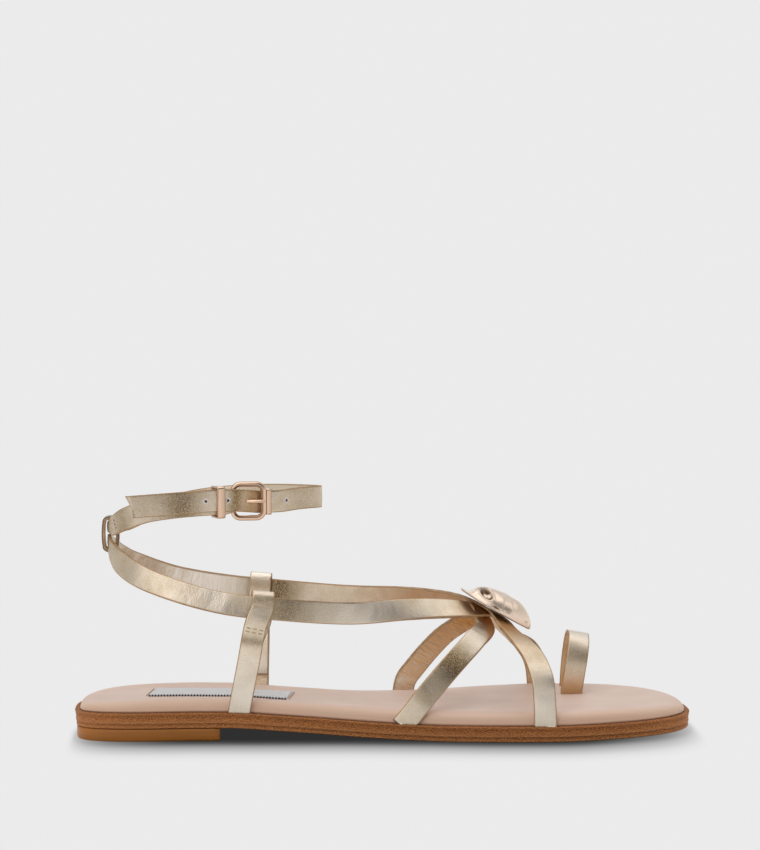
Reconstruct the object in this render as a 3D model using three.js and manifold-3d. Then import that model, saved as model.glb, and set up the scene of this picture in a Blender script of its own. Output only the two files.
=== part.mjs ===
// Flat strappy sandal for a right foot, in millimetres.
// +X points to the toe, +Y to the inner (medial) side of the foot and +Z up.
// The heel's rearmost point is x = 0 while the pieces are made; the group at the end moves the
// origin to the middle of the sole's length and width, on the floor.
import * as THREE from 'three';
import { mergeVertices } from 'three/addons/utils/BufferGeometryUtils.js';
import Module from 'manifold-3d';

// Sole sizes
const soleLength = 252;
const ballWidth = 89.2;
const waistWidth = 53.5;
const heelWidth = 55.3;
const heelRoundLength = 40; // length over which the outline rounds off behind the heel
const toeRoundLength = 66; // length over which the outline rounds off at the toe
const heelRoundness = 3; // exponent of the rounding, 2 is an ellipse
const toeRoundness = 2.55;
const heelTipOut = 6; // the outline's rearmost point lies this far to the outer side
const toeTipOut = 5;
const outsoleThickness = 6.3;
const grooveDepth = 0.35; // soft groove round the edge of the outsole
const sideTaper = 0.6; // the outsole's side runs in this much from its top edge to its bottom edge
const heelLift = 5.3; // how high the heel block holds the outsole
const heelBlockLength = 59.2;
const heelBlockInset = 0.2; // the block's side lies this far inside the outsole's lower edge
const heelBlockRound = 1.3; // rounding at the block's foot
const toeSpring = 0.8;
const footbedThickness = 5.2;
const footbedLedge = 2.3; // rim of the outsole left bare round the footbed
const footbedEdge = 5.5; // width of the padded edge's rounding
const seatDish = 1.3; // the heel sits this much into the padding

// Strap sizes
const strapWidth = 9;
const strapThickness = 1.4;
const tabWidth = 6.4; // ring of strap at the back
const clearance = 0.3; // gap between neighbouring pieces
const instepRise = 35.5; // the crossing's height above the footbed
const instepSlope = 31; // degrees, the instep falls towards the toe
const crossingAt = soleLength * 0.6825; // from the heel
const heelSetback = 14.8; // the straps' rearmost point, from the heel
const heelRise = 27.3; // the heel strap rides this much higher at the back than at the crossing
const sideSpread = 62; // across the long strap beside the heel
const ankleRise = 79; // middle of the ankle strap above the heel seat
const ankleBackDrop = 11.2; // the ankle strap hangs this much lower at the back
const ankleLoopLength = 88;
const ankleLoopWidth = 52;
const tailLength = 33.7; // loose end past the keeper
const tailRise = 1.5; // the loose end lies this much higher than the strap under it
const tailDrop = 1.8; // and falls this much over its length
const tailSlant = 4; // the loose end's tip is cut this much longer at its upper edge
const slack = 0.2; // extra room where a strap curves through a loop or past a bar
const toeLoopHeight = 23.4;
const toeLoopWidth = 22.4;
const toeLoopAt = soleLength * 0.815;
const toeLoopOut = 19.2; // middle of the toe loop, from the sole's middle line
const loopFoldDepth = 39; // inner ply of a side loop, measured down from its fold

// Metal sizes
const wire = 2.2; // buckle wire, diameter
const buckleLength = 11.5; // between the middles of hinge bar and front bar
const buckleHeight = 13.6; // between the middles of top and bottom rail
const buckleCorner = 3;
const prongWidth = 1.8;
const keeperWidth = 3.3;
const keeperWall = 0.8;
const guideWidth = 2.2;
const guideWall = 0.5;
const ornamentLength = 33;
const ornamentWidth = 20;
const ornamentHeight = 8;
const ornamentShift = 0.3; // from the crossing towards the toe
const ornamentRim = 0.9; // thickness of its base plate

// Label sizes
const labelLength = 57;
const labelWidth = 19;
const labelThickness = 0.5;
const labelAt = 59.5;
const labelOut = 0.8; // its middle lies this far to the outer side
const labelTurn = -8.5; // degrees

// Steps of the meshes
const outlineSteps = 44; // along each side of the sole
const pathSteps = 4; // between two rows of a strap's table
const roundSteps = 10; // round a wire

const halfBall = ballWidth / 2;
const radians = THREE.MathUtils.degToRad;
const vec = (x, y, z) => new THREE.Vector3(x, y, z);

const wasm = await Module();
wasm.setup();

// Curve tables

// Smooth value of one column of a table at a station: a cubic between rows whose slope is flat at
// a turning point and otherwise the harmonic mean of the two neighbouring slopes.
function smooth(rows, column, at) {
  const slope = (i) => (column(rows[i + 1]) - column(rows[i])) / (rows[i + 1].at - rows[i].at);
  const tangent = (i) => {
    if (i === 0) return slope(0);
    if (i === rows.length - 1) return slope(i - 1);
    const before = slope(i - 1);
    const after = slope(i);
    return before * after <= 0 ? 0 : (2 * before * after) / (before + after);
  };
  const clamped = Math.min(Math.max(at, rows[0].at), rows[rows.length - 1].at);
  const i = Math.min(rows.filter((row) => row.at <= clamped).length, rows.length - 1) - 1;
  const span = rows[i + 1].at - rows[i].at;
  const u = (clamped - rows[i].at) / span;
  const u2 = u * u;
  const u3 = u2 * u;
  return (2 * u3 - 3 * u2 + 1) * column(rows[i]) + (u3 - 2 * u2 + u) * span * tangent(i)
    + (3 * u2 - 2 * u3) * column(rows[i + 1]) + (u3 - u2) * span * tangent(i + 1);
}

// Half widths of the sole: a share of the length, the named width and the shares of it to the
// outer (lateral) and the inner (medial) side of the middle line.
const outlineRows = [
  { at: 0.0, width: heelWidth, lateral: 0.488, medial: 0.512 },
  { at: 0.17, width: heelWidth, lateral: 0.488, medial: 0.512 },
  { at: 0.3, width: waistWidth, lateral: 0.56, medial: 0.44 },
  { at: 0.42, width: waistWidth, lateral: 0.611, medial: 0.4 },
  { at: 0.55, width: ballWidth, lateral: 0.42, medial: 0.332 },
  { at: 0.68, width: ballWidth, lateral: 0.484, medial: 0.45 },
  { at: 0.78, width: ballWidth, lateral: 0.506, medial: 0.494 },
  { at: 0.88, width: ballWidth, lateral: 0.49, medial: 0.478 },
  { at: 1.0, width: ballWidth, lateral: 0.488, medial: 0.476 },
];

// The rounding of the ends closes towards this line: shares of the two tips' offsets.
const tipRows = [
  { at: 0.0, heel: 1, toe: 0 },
  { at: 0.17, heel: 0, toe: 0 },
  { at: 0.72, heel: 0, toe: 0 },
  { at: 1.0, heel: 0, toe: 1 },
];

// Height of the outsole's underside: shares of the heel lift and of the toe spring.
const undersideRows = [
  { at: 0.0, lift: 1, spring: 0 },
  { at: 0.242, lift: 1, spring: 0 },
  { at: 0.357, lift: 0.67, spring: 0 },
  { at: 0.476, lift: 0.245, spring: 0 },
  { at: 0.556, lift: 0.06, spring: 0 },
  { at: 0.6, lift: 0, spring: 0 },
  { at: 0.76, lift: 0, spring: 0 },
  { at: 0.82, lift: 0, spring: 0.06 },
  { at: 0.88, lift: 0, spring: 0.27 },
  { at: 0.94, lift: 0, spring: 0.6 },
  { at: 1.0, lift: 0, spring: 1 },
];

const lateral = -1;
const medial = 1;

function undersideHeight(x) {
  const at = x / soleLength;
  const lift = smooth(undersideRows, (row) => row.lift, at);
  const spring = smooth(undersideRows, (row) => row.spring, at);
  return lift * heelLift + spring * toeSpring;
}

const ledgeHeight = (x) => undersideHeight(x) + outsoleThickness;
const footbedHeight = (x) => ledgeHeight(x) + clearance + footbedThickness;

// Distance of the sole's edge from the middle line: the table's half width, rounded off towards
// the line of the tips over the two end lengths by a superellipse.
function halfWidth(x, side) {
  const share = side === lateral ? (row) => row.lateral * row.width : (row) => row.medial * row.width;
  const fromHeel = Math.max(0, 1 - x / heelRoundLength);
  const fromToe = Math.max(0, 1 - (soleLength - x) / toeRoundLength);
  const heelRound = Math.pow(Math.max(0, 1 - Math.pow(fromHeel, heelRoundness)), 1 / heelRoundness);
  const toeRound = Math.pow(Math.max(0, 1 - Math.pow(fromToe, toeRoundness)), 1 / toeRoundness);
  const tip = -side * smooth(tipRows, (row) => row.heel * heelTipOut + row.toe * toeTipOut, x / soleLength);
  return tip + (smooth(outlineRows, share, x / soleLength) - tip) * heelRound * toeRound;
}

// Stations from heel to toe, close together at the two ends.
const stations = [...Array(outlineSteps + 1).keys()].map(
  (i) => (soleLength * (1 - Math.cos((Math.PI * i) / outlineSteps))) / 2,
);

// Point on the sole's edge moved inwards by an inset, and the outward direction there.
function edgePoint(x, side, inset) {
  const step = 0.4;
  const a = Math.max(0, x - step);
  const b = Math.min(soleLength, x + step);
  const along = vec(b - a, side * (halfWidth(b, side) - halfWidth(a, side)), 0);
  if (x <= 0 || x >= soleLength) along.set(0, x <= 0 ? side : -side, 0);
  along.normalize();
  const out = vec(-side * along.y, side * along.x, 0);
  const point = vec(x, side * halfWidth(x, side), 0).addScaledVector(out, -inset);
  return { point, out };
}

// Closed ring round the sole: out along the lateral side and back along the medial side. A ring
// that stops short of the toe is closed straight across.
function soleRing(inset, length) {
  const short = length < soleLength;
  const reach = short ? [...stations.filter((x) => x < length - 1), length] : stations;
  const side = (which) => reach.map((x) => edgePoint(x, which, inset).point);
  const there = side(lateral);
  const back = side(medial).reverse();
  return [...there, ...back.slice(short ? 0 : 1, -1)];
}

// Mesh helpers

function meshGeometry(points, triangles) {
  const geometry = new THREE.BufferGeometry();
  const flat = new Float32Array(points.flatMap((point) => [point.x, point.y, point.z]));
  geometry.setAttribute('position', new THREE.BufferAttribute(flat, 3));
  geometry.setIndex(triangles.flat());
  return geometry;
}

function toSolid(geometry) {
  const plain = geometry.clone();
  plain.deleteAttribute('normal');
  plain.deleteAttribute('uv');
  const merged = mergeVertices(plain, 1e-4);
  const mesh = new wasm.Mesh({
    numProp: 3,
    vertProperties: new Float32Array(merged.attributes.position.array),
    triVerts: new Uint32Array(merged.index.array),
  });
  mesh.merge();
  return new wasm.Manifold(mesh);
}

function toGeometry(solid) {
  const { vertProperties, triVerts } = solid.getMesh();
  const geometry = new THREE.BufferGeometry();
  geometry.setAttribute('position', new THREE.BufferAttribute(new Float32Array(vertProperties), 3));
  geometry.setIndex(new THREE.BufferAttribute(new Uint32Array(triVerts), 1));
  return geometry;
}

// Solid between rings of the sole, from the lowest level up. The first and the last ring are
// closed by strips that run across the sole, so both faces follow its bend along the length.
function soleSolid(levels, length = soleLength) {
  const rings = levels.map(({ inset, height }) => soleRing(inset, length).map((point) => {
    point.z = height(point.x);
    return point;
  }));
  const count = rings[0].length;
  const half = Math.floor(count / 2);
  const triangles = [];
  for (let level = 0; level + 1 < rings.length; level += 1) {
    for (let i = 0; i < count; i += 1) {
      const a = level * count + i;
      const b = level * count + ((i + 1) % count);
      triangles.push([a, b, b + count], [a, b + count, a + count]);
    }
  }
  const top = (rings.length - 1) * count;
  const partner = (i) => (count - i) % count;
  for (let i = 0; i < half; i += 1) {
    const [a, b, c, d] = [i, i + 1, partner(i + 1), partner(i)];
    if (b !== c) triangles.push([a, c, b], [top + a, top + b, top + c]);
    if (a !== d) triangles.push([a, d, c], [top + a, top + c, top + d]);
  }
  return meshGeometry(rings.flat(), triangles);
}

// Strap helpers

// Direction from a compass heading (0 toe, 90 medial, -90 lateral, 180 heel) and a lean upwards.
function direction(heading, lean) {
  const flat = Math.cos(radians(lean));
  return vec(flat * Math.cos(radians(heading)), flat * Math.sin(radians(heading)), Math.sin(radians(lean)));
}

// Point, tangent and outward face at a share of a strap's path. Rows hold the middle of the strap
// as point, the direction of its outer face as face, and its width as a share of the strap width.
function strapPath(rows) {
  const curve = new THREE.CatmullRomCurve3(rows.map((row) => row.point), false, 'centripetal');
  const last = rows.length - 1;
  return (share) => {
    const i = Math.min(Math.floor(share * last), last - 1);
    const between = share * last - i;
    const point = curve.getPoint(share);
    const tangent = curve.getTangent(share);
    const face = rows[i].face.clone().lerp(rows[i + 1].face, between);
    face.addScaledVector(tangent, -face.dot(tangent)).normalize();
    const wide = THREE.MathUtils.lerp(rows[i].wide ?? 1, rows[i + 1].wide ?? 1, between);
    return { point, tangent, face, wide, across: tangent.clone().cross(face) };
  };
}

// Band of rectangular section along a strap's path, grown all round by an allowance. A slant makes
// one edge of the last end longer than the other.
function strapGeometry(rows, { grow = 0, slant = 0 } = {}) {
  const path = strapPath(rows);
  const steps = (rows.length - 1) * pathSteps;
  const points = [];
  const triangles = [];
  for (let k = 0; k <= steps; k += 1) {
    const { point, tangent, face, wide, across } = path(k / steps);
    const halfAcross = (strapWidth * wide) / 2 + grow;
    const halfThick = strapThickness / 2 + grow;
    for (const [s, t] of [[-1, -1], [1, -1], [1, 1], [-1, 1]]) {
      const longer = k === steps ? (s * slant) / 2 : 0;
      points.push(point.clone().addScaledVector(across, s * halfAcross)
        .addScaledVector(face, t * halfThick).addScaledVector(tangent, longer));
    }
  }
  for (let k = 0; k < steps; k += 1) {
    for (let corner = 0; corner < 4; corner += 1) {
      const a = 4 * k + corner;
      const b = 4 * k + ((corner + 1) % 4);
      triangles.push([a, b + 4, b], [a, a + 4, b + 4]);
    }
  }
  const end = 4 * steps;
  triangles.push([0, 1, 2], [0, 2, 3], [end, end + 2, end + 1], [end, end + 3, end + 2]);
  return meshGeometry(points, triangles);
}

// Row of a strap that stands on the outsole's rim, at a height above it.
function rimRow(at, side, above) {
  const x = at * soleLength;
  const { point, out } = edgePoint(x, side, footbedLedge - clearance - strapThickness / 2);
  point.z = ledgeHeight(x) + above;
  return { point, face: out };
}

// Row of a strap over the foot: shares of the sole's length, of half the ball width and of the
// instep rise above the footbed, then the heading and lean of the outer face.
function footRow({ at, out, up, heading, lean }) {
  const x = at * soleLength;
  const point = vec(x, out * halfBall, footbedHeight(x) + up * instepRise);
  return { point, face: direction(heading, lean) };
}

// Middle of the crossing, moved outwards by a number of half-overlapping strap layers.
const crossingFace = direction(0, 90 - instepSlope);
const layerStep = strapThickness * 0.7;
function crossingRow(along, out, layer) {
  const x = crossingAt + along;
  const point = vec(x, out, footbedHeight(crossingAt) + instepRise - along * Math.tan(radians(instepSlope)));
  return { point: point.addScaledVector(crossingFace, layer * layerStep), face: crossingFace.clone() };
}

// Row of the long strap: share of the way from the heel to the crossing, share of half the side
// spread, and height above the footbed in shares of the instep rise and of the heel rise.
function longRow({ along, out, instep, heel, heading, lean, wide }) {
  const x = heelSetback + along * (crossingAt - heelSetback);
  const z = footbedHeight(x) + instep * instepRise + heel * heelRise;
  return { point: vec(x, (out * sideSpread) / 2, z), face: direction(heading, lean), wide };
}

// Strap tables

const frontLateralRows = [
  { at: 0.7485, out: -0.967, up: 0.15, heading: -88, lean: 3 },
  { at: 0.747, out: -0.94, up: 0.338, heading: -86, lean: 13 },
  { at: 0.742, out: -0.886, up: 0.479, heading: -82, lean: 27 },
  { at: 0.734, out: -0.785, up: 0.612, heading: -76, lean: 40 },
  { at: 0.722, out: -0.645, up: 0.72, heading: -66, lean: 50 },
  { at: 0.7035, out: -0.36, up: 0.845, heading: -35, lean: 60 },
];
const frontMedialRows = [
  { at: 0.77, out: 0.937, up: 0.15, heading: 88, lean: 3 },
  { at: 0.765, out: 0.905, up: 0.29, heading: 86, lean: 14 },
  { at: 0.753, out: 0.83, up: 0.44, heading: 80, lean: 32 },
  { at: 0.735, out: 0.69, up: 0.57, heading: 70, lean: 46 },
  { at: 0.716, out: 0.49, up: 0.68, heading: 50, lean: 55 },
  { at: 0.699, out: 0.27, up: 0.785, heading: 20, lean: 60 },
];
const rearLateralRows = [
  { at: 0.561, out: -0.785, up: 0.155, heading: -88, lean: 4 },
  { at: 0.5895, out: -0.715, up: 0.38, heading: -84, lean: 16 },
  { at: 0.6195, out: -0.59, up: 0.585, heading: -78, lean: 32 },
  { at: 0.6465, out: -0.41, up: 0.745, heading: -66, lean: 46 },
  { at: 0.666, out: -0.19, up: 0.865, heading: -35, lean: 56 },
];
const rearMedialRows = [
  { at: 0.6365, out: 0.185, up: 0.865, heading: 40, lean: 56 },
  { at: 0.607, out: 0.385, up: 0.675, heading: 72, lean: 42 },
  { at: 0.5815, out: 0.53, up: 0.455, heading: 84, lean: 22 },
  { at: 0.56, out: 0.605, up: 0.25, heading: 89, lean: 8 },
  { at: 0.5455, out: 0.632, up: 0.1, heading: 90, lean: 2 },
];
const longLateralRows = [
  { along: 0.923, out: -0.225, instep: 1.06, heel: 0, heading: -75, lean: 50 },
  { along: 0.843, out: -0.405, instep: 1.09, heel: 0, heading: -86, lean: 36 },
  { along: 0.76, out: -0.585, instep: 1.09, heel: 0, heading: -90, lean: 22 },
  { along: 0.622, out: -0.81, instep: 1.045, heel: 0, heading: -86, lean: 6 },
  { along: 0.426, out: -0.965, instep: 1.05, heel: 0.01, heading: -88, lean: 8 },
  { along: 0.293, out: -1, instep: 1.05, heel: 0.073, heading: -94, lean: 22 },
  { along: 0.165, out: -0.945, instep: 1.05, heel: 0.277, heading: -104, lean: 27 },
  { along: 0.079, out: -0.76, instep: 1.02, heel: 0.505, heading: -122, lean: 22 },
  { along: 0.03, out: -0.47, instep: 1, heel: 0.715, heading: -145, lean: 14 },
  { along: 0.006, out: -0.22, instep: 1, heel: 0.895, heading: -165, lean: 6, wide: 0.66 },
  { along: 0.001, out: -0.09, instep: 1, heel: 0.985, heading: -174, lean: 2, wide: 0.42 },
];
const heelStrapRow = { along: 0, out: 0, instep: 1, heel: 1, heading: 180, lean: 1, wide: 0.4 };
const longMedialRows = [
  { along: 0.001, out: 0.09, instep: 1, heel: 0.985, heading: 174, lean: 2, wide: 0.42 },
  { along: 0.006, out: 0.22, instep: 1, heel: 0.885, heading: 165, lean: 6, wide: 0.7 },
  { along: 0.03, out: 0.47, instep: 1, heel: 0.68, heading: 145, lean: 12, wide: 0.95 },
  { along: 0.079, out: 0.76, instep: 1.02, heel: 0.475, heading: 122, lean: 16 },
  { along: 0.165, out: 0.94, instep: 1.05, heel: 0.243, heading: 104, lean: 16 },
  { along: 0.293, out: 1, instep: 1.06, heel: 0.078, heading: 94, lean: 10 },
  { along: 0.426, out: 0.96, instep: 1.07, heel: 0.02, heading: 89, lean: 4 },
  { along: 0.622, out: 0.78, instep: 1.085, heel: 0, heading: 85, lean: 6 },
  { along: 0.76, out: 0.56, instep: 1.12, heel: 0, heading: 84, lean: 16 },
  { along: 0.843, out: 0.37, instep: 1.135, heel: 0, heading: 80, lean: 34 },
  { along: 0.923, out: 0.2, instep: 1.105, heel: 0, heading: 70, lean: 50 },
];

// The long strap starts at the front medial edge, passes the crossing, runs round the heel and
// comes back over the crossing to the front lateral edge. The rear strap passes under it.
const rimFoot = 6; // how far a strap's rows start below the rim before the end is cut level
const longStrapRows = [
  rimRow(0.7725, medial, -rimFoot),
  rimRow(0.7725, medial, footbedThickness * 0.6),
  ...frontMedialRows.map(footRow),
  crossingRow(-1, 1.5, -1),
  ...longLateralRows.map(longRow),
  longRow(heelStrapRow),
  ...longMedialRows.map(longRow),
  crossingRow(0, -1.5, 0),
  ...frontLateralRows.map(footRow).reverse(),
  rimRow(0.7492, lateral, footbedThickness * 0.6),
  rimRow(0.7492, lateral, -rimFoot),
];
const rearStrapRows = [
  rimRow(0.5064, lateral, -rimFoot),
  rimRow(0.5357, lateral, footbedThickness * 0.6),
  ...rearLateralRows.map(footRow),
  crossingRow(-6, 0, -2),
  ...rearMedialRows.map(footRow),
  rimRow(0.538, medial, footbedThickness * 0.6),
  rimRow(0.536, medial, -rimFoot),
];

// Sole solids

// Side of the outsole from its underside up: share of its thickness and share of the groove's
// depth. The whole side also runs in towards the bottom by the taper.
const outsoleSide = [
  { up: 0.0, groove: 0.8 },
  { up: 0.05, groove: 0.1 },
  { up: 0.16, groove: 0.9 },
  { up: 0.27, groove: 0.9 },
  { up: 0.36, groove: 0 },
  { up: 0.48, groove: 0.2 },
  { up: 0.68, groove: 1.0 },
  { up: 0.88, groove: 0.2 },
  { up: 0.96, groove: 0.3 },
  { up: 1.0, groove: 1.2 },
];
const outsole = soleSolid(outsoleSide.map(({ up, groove }) => ({
  inset: groove * grooveDepth + (1 - up) * sideTaper,
  height: (x) => undersideHeight(x) + up * outsoleThickness,
})));

// Side of the heel block from the floor up: share of its height and share of its foot's rounding.
const blockSide = [
  { up: 0.0, round: 1 },
  { up: 0.08, round: 0.45 },
  { up: 0.28, round: 0.08 },
  { up: 1.0, round: 0 },
];
const blockHeight = heelLift - clearance;
const heelBlock = soleSolid(
  blockSide.map(({ up, round }) => ({
    inset: sideTaper + heelBlockInset + round * heelBlockRound,
    height: () => up * blockHeight,
  })),
  heelBlockLength,
);

// Padded footbed from its underside up: inset past the ledge in shares of the edge's rounding,
// height in shares of the thickness, and the share of the heel's dish.
const footbedSide = [
  { inset: 0.04, up: 0.0, dish: 0 },
  { inset: 0.0, up: 0.1, dish: 0 },
  { inset: 0.02, up: 0.38, dish: 0 },
  { inset: 0.11, up: 0.62, dish: 0 },
  { inset: 0.28, up: 0.8, dish: 0 },
  { inset: 0.52, up: 0.92, dish: 0 },
  { inset: 0.85, up: 0.985, dish: 0.1 },
  { inset: 1.3, up: 1.0, dish: 0.4 },
  { inset: 2.0, up: 1.0, dish: 1.0 },
];
// Along the length: the share of the heel's dish, and the share of the footbed's thickness, which
// is skived thin towards both ends.
const footbedRows = [
  { at: 0, dish: 0.5, thick: 0.5 },
  { at: 0.03, dish: 0.6, thick: 0.66 },
  { at: 0.08, dish: 0.85, thick: 0.86 },
  { at: 0.14, dish: 1, thick: 0.97 },
  { at: 0.2, dish: 1, thick: 1 },
  { at: 0.32, dish: 0.85, thick: 1 },
  { at: 0.42, dish: 0.4, thick: 1 },
  { at: 0.52, dish: 0, thick: 1 },
  { at: 0.84, dish: 0, thick: 0.98 },
  { at: 0.93, dish: 0, thick: 0.84 },
  { at: 1, dish: 0, thick: 0.55 },
];
const dishAt = (x) => seatDish * smooth(footbedRows, (row) => row.dish, x / soleLength);
const thickAt = (x) => footbedThickness * smooth(footbedRows, (row) => row.thick, x / soleLength);
const footbedWhole = soleSolid(footbedSide.map(({ inset, up, dish }) => ({
  inset: footbedLedge + inset * footbedEdge,
  height: (x) => ledgeHeight(x) + clearance + up * thickAt(x) - dish * dishAt(x),
})));

// Everything from the rim of the outsole down, with the clearance above it: it cuts the straps'
// lower ends level with the rim.
const overhang = 12;
const belowRim = toSolid(soleSolid([
  { inset: -overhang, height: (x) => undersideHeight(x) - overhang },
  { inset: -overhang, height: (x) => ledgeHeight(x) + clearance },
]));

// Loops

// Loop of strap that stands on the rim, passes over the long strap and folds down inside it.
// The plies keep one clearance between them, and the long strap runs through the fold. The shift
// moves the leg's upper end to the heel.
function sideLoopRows(side, longShare, footAt, shift) {
  const held = strapPath(longStrapRows)(longShare);
  const foot = rimRow(footAt, side, 0);
  const up = held.across.clone().multiplyScalar(Math.sign(held.across.z));
  const { face } = held;
  const toStrap = clearance + 2 * slack + strapThickness;
  const plyStep = strapThickness + clearance + 1.3 * slack;
  const top = strapWidth / 2 + toStrap - strapThickness / 2;
  const place = (height, out) => held.point.clone().addScaledVector(up, height).addScaledVector(face, out);
  const legTop = place(-strapWidth / 2 - toStrap, toStrap).add(vec(-shift, 0, 0));
  const leg = (share) => foot.point.clone().lerp(legTop, share);
  const legFace = (share) => foot.face.clone().lerp(face, share);
  const inward = legFace(0.5).negate();
  const innerLeg = (share) => leg(share).addScaledVector(inward, plyStep);
  const innerEnd = 1 - (loopFoldDepth - strapWidth) / foot.point.distanceTo(legTop);
  const below = foot.point.clone().add(vec(0, 0, -rimFoot));
  return [
    { point: below, face: foot.face },
    { point: leg(0.08), face: foot.face },
    { point: leg(0.55), face: legFace(0.55) },
    { point: legTop, face },
    { point: place(0, toStrap), face },
    { point: place(top - toStrap * 0.6, toStrap), face: face.clone() },
    { point: place(top, toStrap * 0.5), face: face.clone().add(up) },
    { point: place(top + 0.2, 0), face: up.clone() },
    { point: place(top, -toStrap * 0.5), face: up.clone().sub(face) },
    { point: place(top - toStrap * 0.6, -toStrap), face: face.clone().negate() },
    { point: place(0, -toStrap), face: face.clone().negate() },
    { point: place(-strapWidth / 2 - clearance, -toStrap * 0.95), face: face.clone().negate() },
    { point: innerLeg(0.84), face: legFace(0.84).negate() },
    { point: innerLeg(0.6), face: legFace(0.6).negate() },
    { point: innerLeg(innerEnd), face: legFace(innerEnd).negate() },
  ];
}

// Share of the long strap's path at which it reaches a distance from the heel, on one side.
function longShareAt(x, side) {
  const path = strapPath(longStrapRows);
  const backRow = 2 + frontMedialRows.length + 1 + longLateralRows.length;
  const middle = backRow / (longStrapRows.length - 1);
  let [near, far] = side === lateral ? [middle, 0.3] : [middle, 0.7];
  for (let i = 0; i < 24; i += 1) {
    const half = (near + far) / 2;
    if (path(half).point.x < x) near = half;
    else far = half;
  }
  return near;
}

const loopTopAt = heelSetback + 0.392 * (crossingAt - heelSetback);
const lateralLoopRows = sideLoopRows(lateral, longShareAt(loopTopAt, lateral), 0.2645, 2.1);
const medialLoopRows = sideLoopRows(medial, longShareAt(loopTopAt, medial), 0.2975, 0);

// Arch of strap round the big toe, through two slits in the footbed. Shares of half the loop's
// width and of its height, how far it leans to the toe in shares of the strap width, and the face.
const toeLoopTable = [
  { out: -1.0, up: -0.3, forward: -0.05, heading: -90, lean: 0 },
  { out: -1.0, up: 0.05, forward: 0.0, heading: -90, lean: 0 },
  { out: -1.04, up: 0.35, forward: 0.12, heading: -90, lean: 2 },
  { out: -0.95, up: 0.68, forward: 0.28, heading: -88, lean: 12 },
  { out: -0.6, up: 0.92, forward: 0.4, heading: -70, lean: 45 },
  { out: 0.0, up: 1.0, forward: 0.44, heading: 0, lean: 80 },
  { out: 0.6, up: 0.91, forward: 0.42, heading: 70, lean: 45 },
  { out: 0.94, up: 0.66, forward: 0.36, heading: 88, lean: 12 },
  { out: 1.03, up: 0.35, forward: 0.28, heading: 90, lean: 2 },
  { out: 1.0, up: 0.05, forward: 0.22, heading: 90, lean: 0 },
  { out: 1.0, up: -0.3, forward: 0.2, heading: 90, lean: 0 },
];
const toeLoopRows = toeLoopTable.map(({ out, up, forward, heading, lean }) => ({
  point: vec(
    toeLoopAt + forward * strapWidth,
    toeLoopOut + (out * toeLoopWidth) / 2,
    footbedHeight(toeLoopAt) + up * toeLoopHeight,
  ),
  face: direction(heading, lean),
}));

// Ankle strap

const strapGap = strapThickness + clearance; // from one ply's middle to the next ply's
const barReach = wire / 2 + clearance + strapThickness / 2; // from a bar's middle to a ply's

// Row of the ankle strap: share of the loop's length from the back, share of half its width,
// share of the drop at the back, and the heading of its face.
function ankleRow({ along, out, drop, heading, lean = 0, wide }) {
  const z = footbedHeight(0) + ankleRise - drop * ankleBackDrop;
  const point = vec(heelSetback + along * ankleLoopLength, (out * ankleLoopWidth) / 2, z);
  return { point, face: direction(heading, lean), wide };
}

// The buckle's straight stretch: the hinge bar lies at its start. Along runs to the toe, out away
// from the leg.
const buckleHeading = 21; // degrees between the strap and the sole's middle line at the buckle
const buckleStart = ankleRow({ along: 0.585, out: -0.83, drop: 0.04, heading: buckleHeading - 90 });
const buckleAlong = direction(buckleHeading, 0);
const buckleOut = direction(buckleHeading - 90, 0);
function bucklePlace(along, out, up = 0) {
  return buckleStart.point.clone().addScaledVector(buckleAlong, along)
    .addScaledVector(buckleOut, out).add(vec(0, 0, up));
}
const buckleRow = (along, out, face = buckleOut, up = 0) => ({ point: bucklePlace(along, out, up), face });

const ankleLateralRows = [
  { along: 0.4, out: -0.95, drop: 0.08, heading: -83 },
  { along: 0.28, out: -0.91, drop: 0.17, heading: -98 },
  { along: 0.17, out: -0.79, drop: 0.33, heading: -117 },
  { along: 0.08, out: -0.56, drop: 0.62, heading: -137 },
  { along: 0.02, out: -0.25, drop: 0.93, heading: -160, wide: 0.88 },
  { along: 0.003, out: -0.12, drop: 0.985, heading: -171, wide: 0.46 },
];
const ankleMedialRows = [
  { along: 0, out: 0, drop: 1, heading: 180, wide: 0.44 },
  { along: 0.003, out: 0.12, drop: 1, heading: 171, wide: 0.46 },
  { along: 0.02, out: 0.25, drop: 0.99, heading: 160, wide: 0.72 },
  { along: 0.08, out: 0.53, drop: 0.9, heading: 137, wide: 0.9 },
  { along: 0.17, out: 0.76, drop: 0.62, heading: 117, wide: 0.95 },
  { along: 0.3, out: 0.93, drop: 0.42, heading: 100 },
  { along: 0.45, out: 0.97, drop: 0.22, heading: 86 },
  { along: 0.6, out: 0.86, drop: 0.1, heading: 73 },
  { along: 0.75, out: 0.6, drop: 0.03, heading: 64 },
  { along: 0.89, out: 0.26, drop: 0, heading: 60 },
  { along: 0.965, out: 0.08, drop: 0, heading: 55 },
  { along: 0.983, out: 0.0, drop: 0, heading: 0 },
  { along: 0.965, out: -0.08, drop: 0, heading: -52 },
  { along: 0.89, out: -0.28, drop: 0, heading: -60 },
];
const tailTurn = -15; // degrees between the loose end and the buckle's stretch
const endWidth = 0.74; // the buckle's end of the strap is this narrow, to pass between the rails
const curl = (angle) => ({
  ...buckleRow(
    barReach * Math.sin(radians(angle)),
    -barReach + barReach * Math.cos(radians(angle)),
    direction(buckleHeading - 90 + angle, 0),
  ),
  wide: endWidth,
});
const returnLength = 9;
const buckleEndRows = [
  { ...buckleRow(-returnLength, -strapGap, buckleOut.clone().negate()), wide: endWidth },
  { ...buckleRow(-returnLength * 0.6, -strapGap * 1.2, buckleOut.clone().negate()), wide: endWidth },
  curl(180),
  curl(135),
  curl(90),
  curl(45),
  curl(0),
  buckleRow(-4, 0),
  buckleRow(-9, 0),
];
const keeperAt = -7.2; // middle of the keeper, from the hinge bar
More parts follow.
